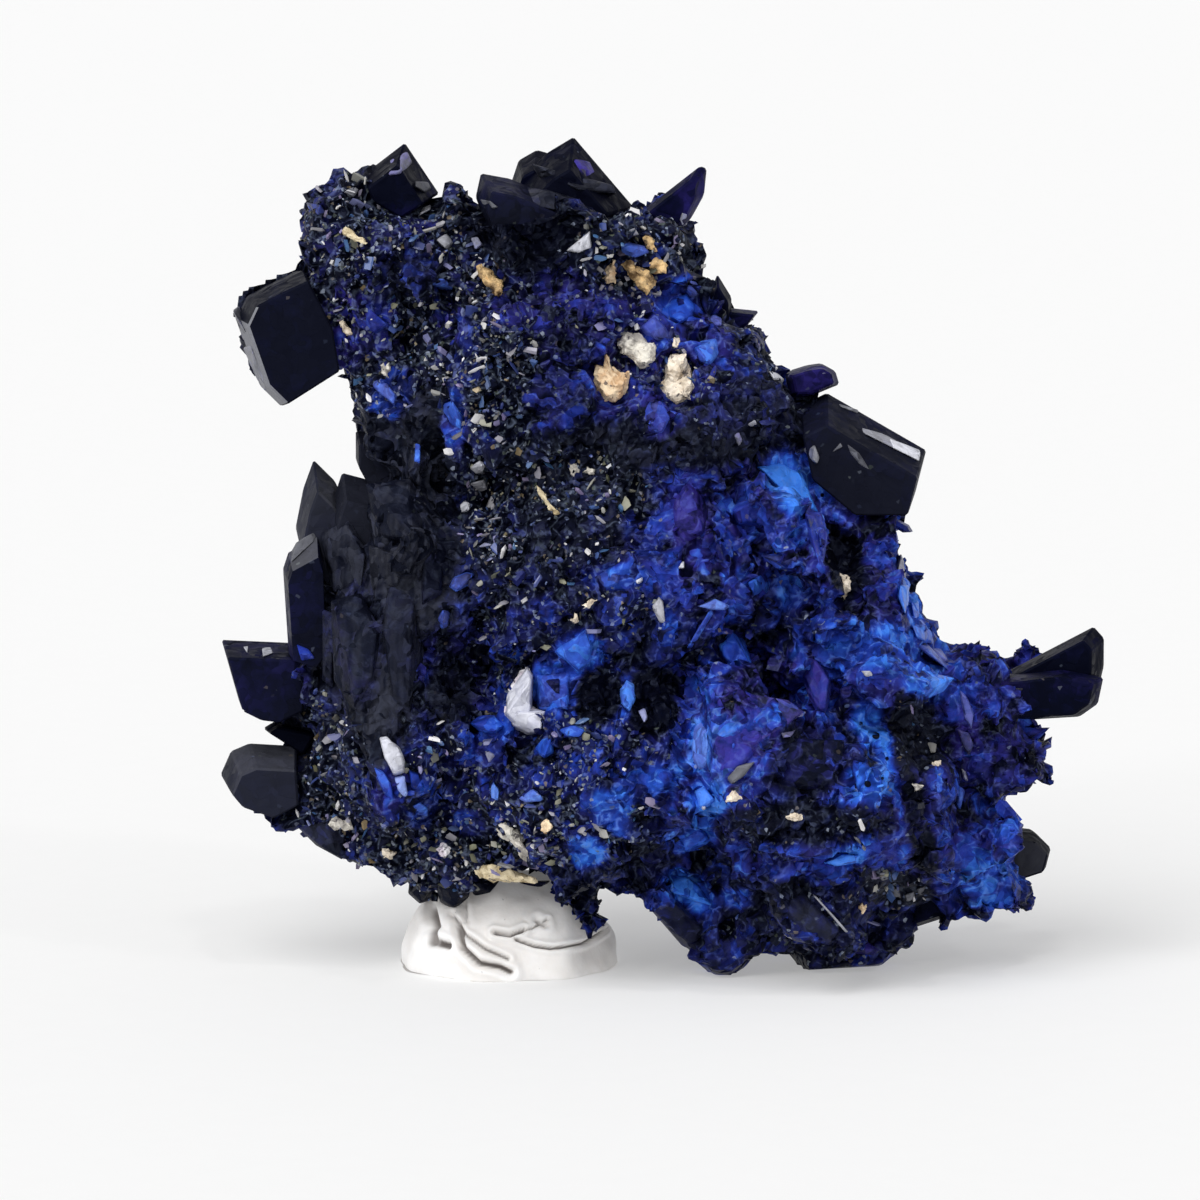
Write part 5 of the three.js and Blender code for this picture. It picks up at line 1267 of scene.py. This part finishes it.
def block_corners(width, thick, slant):
    """A stout slanted prism."""
    section = [(-0.5, -0.4), (0.3, -0.5), (0.5, 0.35), (-0.35, 0.5)]
    low = [(x * width, y * thick, -0.5) for x, y in section]
    high = [(x * width * 0.86, y * thick * 0.86, 0.42 + slant * x) for x, y in section]
    return low + high


def chip_corners(seed, flat):
    """A broken crumb about one unit across."""
    dice = random.Random(seed)
    corners = []
    for i in range(9):
        height = 1 - 2 * (i + 0.5) / 9
        reach = math.sqrt(1 - height * height)
        turn = 2.4 * i + dice.random()
        size = 0.5 * dice.uniform(0.7, 1.05)
        corners.append((reach * math.cos(turn) * size, reach * math.sin(turn) * size * flat, height * size))
    return corners


SHAPES = {
    "blades": [blade_corners(0.62, 0.2, 0.3, 0.3), blade_corners(0.44, 0.24, 0.42, 0.15),
               blade_corners(0.8, 0.16, 0.2, 0.38), block_corners(0.5, 0.34, 0.3)],
    "blocks": [block_corners(0.8, 0.5, 0.35), block_corners(0.66, 0.62, -0.25),
               blade_corners(0.9, 0.4, 0.25, 0.34), blade_corners(0.7, 0.3, 0.4, 0.25)],
    "chips": [chip_corners(3, 0.7), chip_corners(8, 0.5), block_corners(0.9, 0.5, 0.3)],
}


def shape_collection(kind):
    """An unlinked collection with the shapes of one kind."""
    group = bpy.data.collections.new(kind)
    for i, corners in enumerate(SHAPES[kind]):
        name = f"{kind} {i}"
        group.objects.link(bpy.data.objects.new(name, shape_mesh(name, corners)))
    return group


# Families of small crystals: shapes, spacing setting, smallest and largest size in mm, lean, how much of
# each is sunk, and how the tones and the distance to a large crystal give its cover.
FAMILIES = {
    "druse_blocks": ("blocks", "blocks", 0.5, 1.2, 0.9, 0.40),
    "druse_blades": ("blades", "blades", 0.22, 0.62, 1.0, 0.38),
    "druse_chips": ("chips", "chips", 0.12, 0.34, 1.0, 0.15),
    # Pale specks stand partly for glints of light on the druse, which makes them painted glints, and partly for grains
    # of paler minerals.
    "pale_specks": ("chips", "specks", 0.07, 0.22, 1.0, -0.1),
    "pale_blades": ("blades", "glints", 0.18, 0.6, 1.0, 0.25),
    "ochre_crumbs": ("chips", "crumbs", 0.15, 0.5, 1.0, 0.0),
}


def softness(tones):
    """Where the surface is smooth enough to carry no small crystals, from 0 to 1."""
    return np.clip(np.maximum(tones[:, 0] - 0.28, 0.0) * 2 + tones[:, 3] * 0.9, 0.0, 1.0)


def covers(points, normals):
    """How thickly each family of small crystals covers each point of the surface, from 0 to 1."""
    facing = 0.06 + 0.94 * smooth(0.25, 0.6, np.abs(normals[:, 1]))
    tones = tones_at(points)
    bare = smooth(0.0, 0.5, depth_outside_crystals(points)) * smooth(0.6, 1.6, points[:, 2])
    glitter = tones[:, 2]
    open_ground = 1 - 0.85 * softness(tones)
    clump = np.array([noise.noise(Vector(point) / 1.7) for point in points])
    loose = bare * open_ground * facing * smooth(0.3, 0.1, dents_at(points, HOLLOWS))
    return {
        "druse_blocks": loose * smooth(-0.2, 0.3, clump) * (1 - 0.8 * glitter) * 0.7,
        "druse_blades": loose * (0.2 + 0.6 * smooth(-0.3, 0.2, clump)),
        "druse_chips": loose * (0.3 + 0.7 * glitter),
        "pale_specks": np.maximum(0.0, glitter - 0.2) * 0.6 * bare * smooth(-0.35, 0.25, clump),
        "pale_blades": smooth(0.15, 0.75, glitter) * bare * facing * smooth(-0.45, 0.1, clump),
        "ochre_crumbs": np.maximum(0.0, glitter - 0.3) * 0.4 * bare * smooth(0.2, -0.3, clump),
    }


# ---- seen places --------------------------------------------------------------------------------

def sight_line():
    """The level direction from the display side into the specimen, tilted down."""
    return Vector((0.0, math.cos(VIEW_TILT), -math.sin(VIEW_TILT)))


def seen_point(u, w):
    """The point of the plane y = 0 that is seen at (u, w), in metres."""
    return Vector((u, 0.0, w / math.cos(VIEW_TILT))) * MM


def seen_depth(tree, u, w):
    """How far behind the plane y = 0 the display side is met at (u, w), in metres. None if it is missed."""
    reach = 60 * MM
    hit, _, _, distance = tree.ray_cast(seen_point(u, w) - sight_line() * reach, sight_line())
    return None if hit is None else distance - reach


def outline_depths(tree, outline, spread):
    """The depth at the middle of a seen outline and at each of its corners, within spread of the middle's."""
    middle = (sum(u for u, _ in outline) / len(outline), sum(w for _, w in outline) / len(outline))
    met = [seen_depth(tree, u, w) for u, w in [middle, *outline]]
    if met == [None] * len(met):
        raise RuntimeError(f"nothing is seen at {middle}")
    depth = next(found for found in met if found is not None)
    corners = []
    for found in met[1:]:
        found = depth if found is None else found
        corners.append(min(max(found, depth - spread * MM), depth + spread * MM))
    return middle, depth, corners


def face_crystal_corners(tree, outline, rise, dice):
    """A small crystal whose outline is seen as given and which stands out of the surface by rise."""
    (middle_u, middle_w), _, depths = outline_depths(tree, outline, 0.8)
    placed = []
    for (u, w), depth in zip(outline, depths):
        lift = rise * dice.uniform(0.6, 1.1) * MM
        for scale, out in ((0.8, -lift), (1.0, 0.12 * MM), (1.0, 0.9 * MM)):
            spot = seen_point(middle_u + (u - middle_u) * scale, middle_w + (w - middle_w) * scale)
            placed.append(spot + sight_line() * (depth + out))
    return placed


def build_grain(tree, outline, rise, grit, seed):
    """A jagged grain of matrix: a rough dome on its seen outline and a flatter one into the rock."""
    middle, middle_depth, depths = outline_depths(tree, outline, 0.6)
    around = 60
    rings = 9
    count = len(outline)
    work = bmesh.new()
    shift = Vector((3.7 * seed, 1.3 * seed, 2.1 * seed))

    def add(scale, out, place):
        corner = int(place)
        share_of_next = place - corner
        after = (corner + 1) % count
        u, w, depth = (a + (b - a) * share_of_next for a, b in zip(
            (*outline[corner], depths[corner]), (*outline[after], depths[after])))
        depth = middle_depth + (depth - middle_depth) * scale - out * rise * MM
        spot = seen_point(middle[0] + (u - middle[0]) * scale, middle[1] + (w - middle[1]) * scale)
        spot = spot + sight_line() * depth
        spot += noise.noise_vector(spot / grit + shift) * grit * 0.42
        spot += noise.noise_vector(spot / (0.4 * grit) + shift) * grit * 0.22
        return work.verts.new(spot)

    levels = []
    for step in range(-rings + 1, rings):
        turn = 0.5 * math.pi * step / rings
        out = math.sin(turn) if step > 0 else 0.6 * math.sin(turn)
        levels.append([add(math.cos(turn) ** 0.6, out, k * count / around) for k in range(around)])
    for low, high in zip(levels, levels[1:]):
        for k in range(around):
            work.faces.new((low[k], low[(k + 1) % around], high[(k + 1) % around], high[k]))
    for level, out in ((levels[0], -0.6), (levels[-1], 1.0)):
        apex = add(0.0, out, 0.0)
        for k in range(around):
            work.faces.new((level[k], level[(k + 1) % around], apex))
    bmesh.ops.recalc_face_normals(work, faces=work.faces)
    return work


def display_side_tree():
    """A search tree of the massive azurite and its large crystals."""
    work = bmesh.new()
    for name in ("azurite_mass", "large_crystals"):
        work.from_mesh(bpy.data.objects[name].data)
    tree = BVHTree.FromBMesh(work)
    work.free()
    return tree


def folds_at(points):
    """How deep the putty is creased at each point, in millimetres, and how high its edge is pushed up."""
    u = points[:, 0]
    w = points[:, 2] * math.cos(VIEW_TILT) + points[:, 1] * math.sin(VIEW_TILT)
    crease = np.zeros(len(points))
    lip = np.zeros(len(points))
    for line, width, depth in FOLDS:
        nearest = np.full(len(points), 99.0)
        for (u0, w0), (u1, w1) in zip(line, line[1:]):
            along = ((u - u0) * (u1 - u0) + (w - w0) * (w1 - w0)) / ((u1 - u0) ** 2 + (w1 - w0) ** 2)
            along = np.clip(along, 0.0, 1.0)
            nearest = np.minimum(nearest, np.hypot(u - u0 - along * (u1 - u0), w - w0 - along * (w1 - w0)))
        crease = np.maximum(crease, depth * np.exp(-((nearest / width) ** 2)))
        lip = np.maximum(lip, 0.35 * depth * np.exp(-(((nearest - 2.6 * width) / (1.6 * width)) ** 2)))
    return crease, lip


# ---- operators ----------------------------------------------------------------------------------

class SPECIMEN_OT_rock(bpy.types.Operator):
    """Build the massive azurite from the construction model's cluster, broken into facets"""
    bl_idname = "specimen.rock"
    bl_label = "Massive Azurite"

    def execute(self, context):
        settings = context.scene.specimen_rock
        piece = new_object("azurite_mass", frame_mesh("azurite_cluster"), None)
        remesh = piece.modifiers.new("remesh", "REMESH")
        remesh.mode = "VOXEL"
        remesh.voxel_size = settings.voxel
        view = context.evaluated_depsgraph_get()
        piece.data = bpy.data.meshes.new_from_object(piece.evaluated_get(view), depsgraph=view)
        piece.modifiers.remove(remesh)
        points = coordinates(piece.data)
        tones = tones_at(points)
        for name, values in (("soft", softness(tones)), ("streak", np.clip(tones[:, 3], 0.0, 1.0)),
                             ("hollow", dents_at(points, HOLLOWS)), ("trim", dents_at(points, TRIMS)),
                             ("lift", smooth(0.2, 1.2, points[:, 2])),
                             ("buried", smooth(0.5, 0.15, depth_outside_crystals(points)))):
            write_values(piece.data, name, values)
        mesh = run_tree(piece, relief_tree(), {
            "Coarse Facet": settings.coarse_facet, "Coarse Relief": settings.coarse_relief,
            "Fine Facet": settings.fine_facet, "Fine Relief": settings.fine_relief,
            "Ridge Size": settings.ridge_size, "Ridge Height": settings.ridge_height,
            "Pit Size": settings.pit_size, "Pit Depth": settings.pit_depth,
            "Sink": settings.sink, "Bury": settings.bury, "Material": azurite("massive azurite", 0.3, 0.8, 2.6 * MM, 0.12, 1.0),
        })
        piece.data = mesh
        paint(mesh)
        smooth_where_blue(mesh)
        finish_piece(piece, "azurite", "azurite_cluster")
        return {"FINISHED"}


class SPECIMEN_OT_crystals(bpy.types.Operator):
    """Build the large crystals, with worn edges"""
    bl_idname = "specimen.crystals"
    bl_label = "Large Crystals"

    def execute(self, context):
        work = build_large_crystals(context.scene.specimen_rock)
        mesh = bpy.data.meshes.new("large_crystals")
        work.to_mesh(mesh)
        work.free()
        piece = new_object("large_crystals", mesh, azurite("large azurite crystals", 0.3, 0.10, 3.4 * MM, 0.03, 0.0))
        finish_piece(piece, "azurite")
        return {"FINISHED"}


class SPECIMEN_OT_face_crystals(bpy.types.Operator):
    """Build the small bright crystals that stand out in the display side, with painted highlights on some and the pits
    as near-black discs of painted shade
    """
    bl_idname = "specimen.face_crystals"
    bl_label = "Face Crystals"

    def execute(self, context):
        settings = context.scene.specimen_rock
        tree = display_side_tree()
        work = empty_cluster()
        dice = random.Random(23)
        # Each pit is a thin near-black disc: painted shade.
        pits = [(circle(*pit), 0.04, (-0.6, 0, 0, 0)) for pit in PITS]
        for outline, rise, (azure, violet, slate, pale) in [*FACE_CRYSTALS.values(), *pits]:
            values = {"shade": dice.random(), "pale": pale, "tone": (azure, violet, 0.0, slate)}
            corners = face_crystal_corners(tree, outline, rise, dice)
            add_crystal(work, corners, settings.bevel * 0.6, values)
        mesh = bpy.data.meshes.new("face_crystals")
        work.to_mesh(mesh)
        work.free()
        piece = new_object("face_crystals", mesh, azurite("bright azurite crystals", 0.24, 0.3, 1.2 * MM, 0.12, 0.5))
        finish_piece(piece, "azurite")
        return {"FINISHED"}


class SPECIMEN_OT_druse(bpy.types.Operator):
    """Grow the small crystals and specks out of the massive azurite"""
    bl_idname = "specimen.druse"
    bl_label = "Druse"

    def execute(self, context):
        settings = context.scene.specimen_druse
        mass = bpy.data.objects["azurite_mass"]
        ground = bpy.data.objects.new("druse ground", mass.data.copy())
        context.scene.collection.objects.link(ground)
        normals = np.empty(len(ground.data.vertices) * 3)
        ground.data.vertices.foreach_get("normal", normals)
        for name, cover in covers(coordinates(ground.data), normals.reshape(-1, 3)).items():
            write_values(ground.data, f"cover {name}", cover)
        nodes = scatter_tree()
        finishes = {
            "druse_blocks": azurite("stout crystals", 0.2, 0.15, 2.2 * MM, 0.2, 0.3),
            "druse_blades": azurite("small blades", 0.2, 0.12, 2.0 * MM, 0.2, 0.3),
            "druse_chips": azurite("fine druse", 0.2, 0.1, 1.6 * MM, 0.2, 0.3),
            "pale_specks": crumb("specks and glints", PALE_STOPS),
            "pale_blades": crumb("pale blades", BLADE_STOPS),
            "ochre_crumbs": crumb("ochre crumbs", OCHRE_STOPS),
        }
        slots = {"pale_specks": "white_crystal", "pale_blades": "white_crystal", "ochre_crumbs": "ochre_grain"}
        for i, (name, (kind, spacing, smallest, largest, lean, sink)) in enumerate(FAMILIES.items()):
            mesh = run_tree(ground, nodes, {
                "Shapes": shape_collection(kind), "Cover": f"cover {name}",
                "Spacing": getattr(settings, spacing), "Smallest": smallest * MM, "Largest": largest * MM,
                "Lean": lean, "Sink": sink, "Seed": settings.seed + 10 * i, "Material": finishes[name],
            })
            mesh.name = name
            piece = new_object(name, mesh, finishes[name])
            paint(mesh)
            finish_piece(piece, slots.get(name, "azurite"))
        bpy.data.objects.remove(ground)
        return {"FINISHED"}


PALE_STOPS = [
    (0.0, (0.05, 0.08, 0.22)), (0.3, (0.14, 0.18, 0.34)), (0.5, (0.30, 0.34, 0.42)),
    (0.65, (0.10, 0.11, 0.06)), (0.85, (0.45, 0.46, 0.46)), (1.0, (0.75, 0.76, 0.80)),
]
BLADE_STOPS = [
    (0.0, (0.015, 0.020, 0.060)), (0.16, (0.040, 0.060, 0.220)), (0.3, (0.050, 0.130, 0.280)),
    (0.42, (0.220, 0.180, 0.340)), (0.52, (0.060, 0.065, 0.035)), (0.64, (0.340, 0.330, 0.400)),
    (0.76, (0.200, 0.200, 0.120)), (0.86, (0.500, 0.490, 0.480)), (1.0, (0.780, 0.770, 0.800)),
]
OCHRE_STOPS = [
    (0.0, (0.08, 0.06, 0.03)), (0.5, (0.22, 0.16, 0.08)), (0.8, (0.08, 0.09, 0.05)),
    (1.0, (0.50, 0.40, 0.26)),
]


class SPECIMEN_OT_matrix(bpy.types.Operator):
    """Build the pale grains of matrix"""
    bl_idname = "specimen.matrix"
    bl_label = "Matrix Grains"

    def execute(self, context):
        grit = context.scene.specimen_matrix.grit
        finishes = {name: matrix(name, *colours) for name, colours in GRAIN_COLOURS.items()}
        tree = display_side_tree()
        for i, (name, (node, finish, rise, outline)) in enumerate(GRAINS.items()):
            work = build_grain(tree, outline, rise, grit, i)
            mesh = bpy.data.meshes.new(f"{name}_matrix")
            work.to_mesh(mesh)
            work.free()
            piece = new_object(f"{name}_matrix", mesh, finishes[finish])
            finish_piece(piece, GRAIN_SLOTS[finish], *([node] if node else []))
        return {"FINISHED"}


class SPECIMEN_OT_putty(bpy.types.Operator):
    """Build the folded lump of putty"""
    bl_idname = "specimen.putty"
    bl_label = "Putty"

    def execute(self, context):
        lump = context.scene.specimen_matrix.lump
        low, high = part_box("display_putty")
        middle = Vector(((low[0] + high[0]) / 2, (low[1] + high[1]) / 2, 0.0))
        half = Vector(((high[0] - low[0]) / 2, (high[1] - low[1]) / 2, high[2] - low[2]))
        work = bmesh.new()
        bmesh.ops.create_icosphere(work, subdivisions=7, radius=1.0)
        outward = []
        for vertex in work.verts:
            ball = vertex.co.copy()
            spot = Vector(part * size for part, size in zip(ball, half))
            bumpy = noise.noise(spot / (1.9 * MM)) * lump + noise.noise(spot / (0.6 * MM)) * lump * 0.15
            flare = 0.98 + 0.1 * max(0.0, 0.35 - ball.z) ** 2
            vertex.co = middle + spot * flare + ball * bumpy
            outward.append(tuple(ball))
        mesh = bpy.data.meshes.new("folded_putty")
        work.to_mesh(mesh)
        work.free()
        points = coordinates(mesh)
        outward = np.array(outward)
        crease, lip = (values * smooth(0.1, -0.3, outward[:, 1]) for values in folds_at(points))
        points += outward * (lip - crease)[:, None]
        points[:, 2] = np.maximum(points[:, 2], 0.0)
        mesh.vertices.foreach_set("co", (points * MM).ravel())
        # Painted shade: the top of the putty under the rock and its creases, stored under the name crease.
        shadow_under_rock = 0.3 * smooth(1.6, 2.8, points[:, 2]) * smooth(-5.0, -7.0, points[:, 0])
        write_values(mesh, "crease", np.maximum(shadow_under_rock, smooth(0.12, 0.4, crease)))
        piece = new_object("folded_putty", mesh, putty_finish(), flat=False)
        finish_piece(piece, "putty", "display_putty")
        return {"FINISHED"}


class SPECIMEN_OT_stage(bpy.types.Operator):
    """Set up the floor, the soft lights, the white surround and the camera"""
    bl_idname = "specimen.stage"
    bl_label = "Stage"

    def execute(self, context):
        settings = context.scene.specimen_stage
        scene = context.scene
        work = bmesh.new()
        bmesh.ops.create_circle(work, cap_ends=True, segments=96, radius=settings.reach)
        mesh = bpy.data.meshes.new("floor")
        work.to_mesh(mesh)
        work.free()
        floor = new_object("floor", mesh, floor_finish(tuple(settings.floor)))

        world = bpy.data.worlds.new("surround")
        world.use_nodes = True
        nodes = Nodes(world.node_tree)
        nodes.tree.nodes.clear()
        up = nodes.add("ShaderNodeTexCoord", out="Generated")
        height = nodes.add("ShaderNodeSeparateXYZ", None, {0: up}, "Z")
        sky = nodes.add("ShaderNodeValToRGB", {"stops": SKY_STOPS}, {0: height})
        light = nodes.add("ShaderNodeBackground", None, {"Color": sky, "Strength": settings.surround})
        nodes.add("ShaderNodeOutputWorld", None, {"Surface": light})
        scene.world = world

        for name, (direction, width, strength) in LIGHTS.items():
            sun = bpy.data.lights.new(name, "SUN")
            sun.angle = math.radians(width)
            sun.energy = strength
            lamp = bpy.data.objects.new(name, sun)
            lamp.rotation_euler = Vector(direction).to_track_quat("Z", "Y").to_euler()
            scene.collection.objects.link(lamp)

        camera = bpy.data.cameras.new("display side")
        camera.lens = settings.lens
        camera.sensor_width = 36.0
        camera.clip_start = 0.01
        camera.dof.use_dof = False
        viewer = bpy.data.objects.new("display side", camera)
        aim = seen_point(*SEEN_MIDDLE)
        viewer.location = aim - sight_line() * (settings.field * settings.lens / camera.sensor_width)
        viewer.rotation_euler = sight_line().to_track_quat("-Z", "Y").to_euler()
        scene.collection.objects.link(viewer)
        scene.camera = viewer
        scene.view_settings.view_transform = "Standard"
        return {"FINISHED"}


SEEN_MIDDLE = (-2.4, 13.93)  # the seen place at the middle of the view
SKY_STOPS = [(0.0, (0.94, 0.94, 0.94)), (0.25, (0.8, 0.8, 0.81)), (0.6, (0.45, 0.45, 0.46)), (1.0, (0.35, 0.35, 0.36))]

OPERATORS = (
    SPECIMEN_OT_stage, SPECIMEN_OT_rock, SPECIMEN_OT_crystals, SPECIMEN_OT_face_crystals,
    SPECIMEN_OT_druse, SPECIMEN_OT_matrix, SPECIMEN_OT_putty,
)


class SPECIMEN_PT_panel(bpy.types.Panel):
    """Lists the pieces of the specimen"""
    bl_idname = "SPECIMEN_PT_panel"
    bl_label = "Azurite Specimen"
    bl_space_type = "VIEW_3D"
    bl_region_type = "UI"
    bl_category = "Azurite"

    def draw(self, context):
        column = self.layout.column()
        for name in SETTINGS:
            settings = getattr(context.scene, name)
            for key in settings.bl_rna.properties.keys():
                if key not in ("rna_type", "name"):
                    column.prop(settings, key)
        for operator in OPERATORS:
            column.operator(operator.bl_idname)


SETTINGS = {
    "specimen_rock": RockSettings,
    "specimen_druse": DruseSettings,
    "specimen_matrix": MatrixSettings,
    "specimen_stage": StageSettings,
}
CLASSES = (*SETTINGS.values(), *OPERATORS, SPECIMEN_PT_panel)


def register():
    for item in CLASSES:
        bpy.utils.register_class(item)
    for name, settings in SETTINGS.items():
        setattr(bpy.types.Scene, name, PointerProperty(type=settings))


def unregister():
    for name in SETTINGS:
        delattr(bpy.types.Scene, name)
    for item in reversed(CLASSES):
        bpy.utils.unregister_class(item)


def main():
    register()
    bpy.ops.specimen.stage()
    bpy.ops.specimen.rock()
    bpy.ops.specimen.crystals()
    bpy.ops.specimen.face_crystals()
    bpy.ops.specimen.druse()
    bpy.ops.specimen.matrix()
    bpy.ops.specimen.putty()


if __name__ == "__main__":
    main()
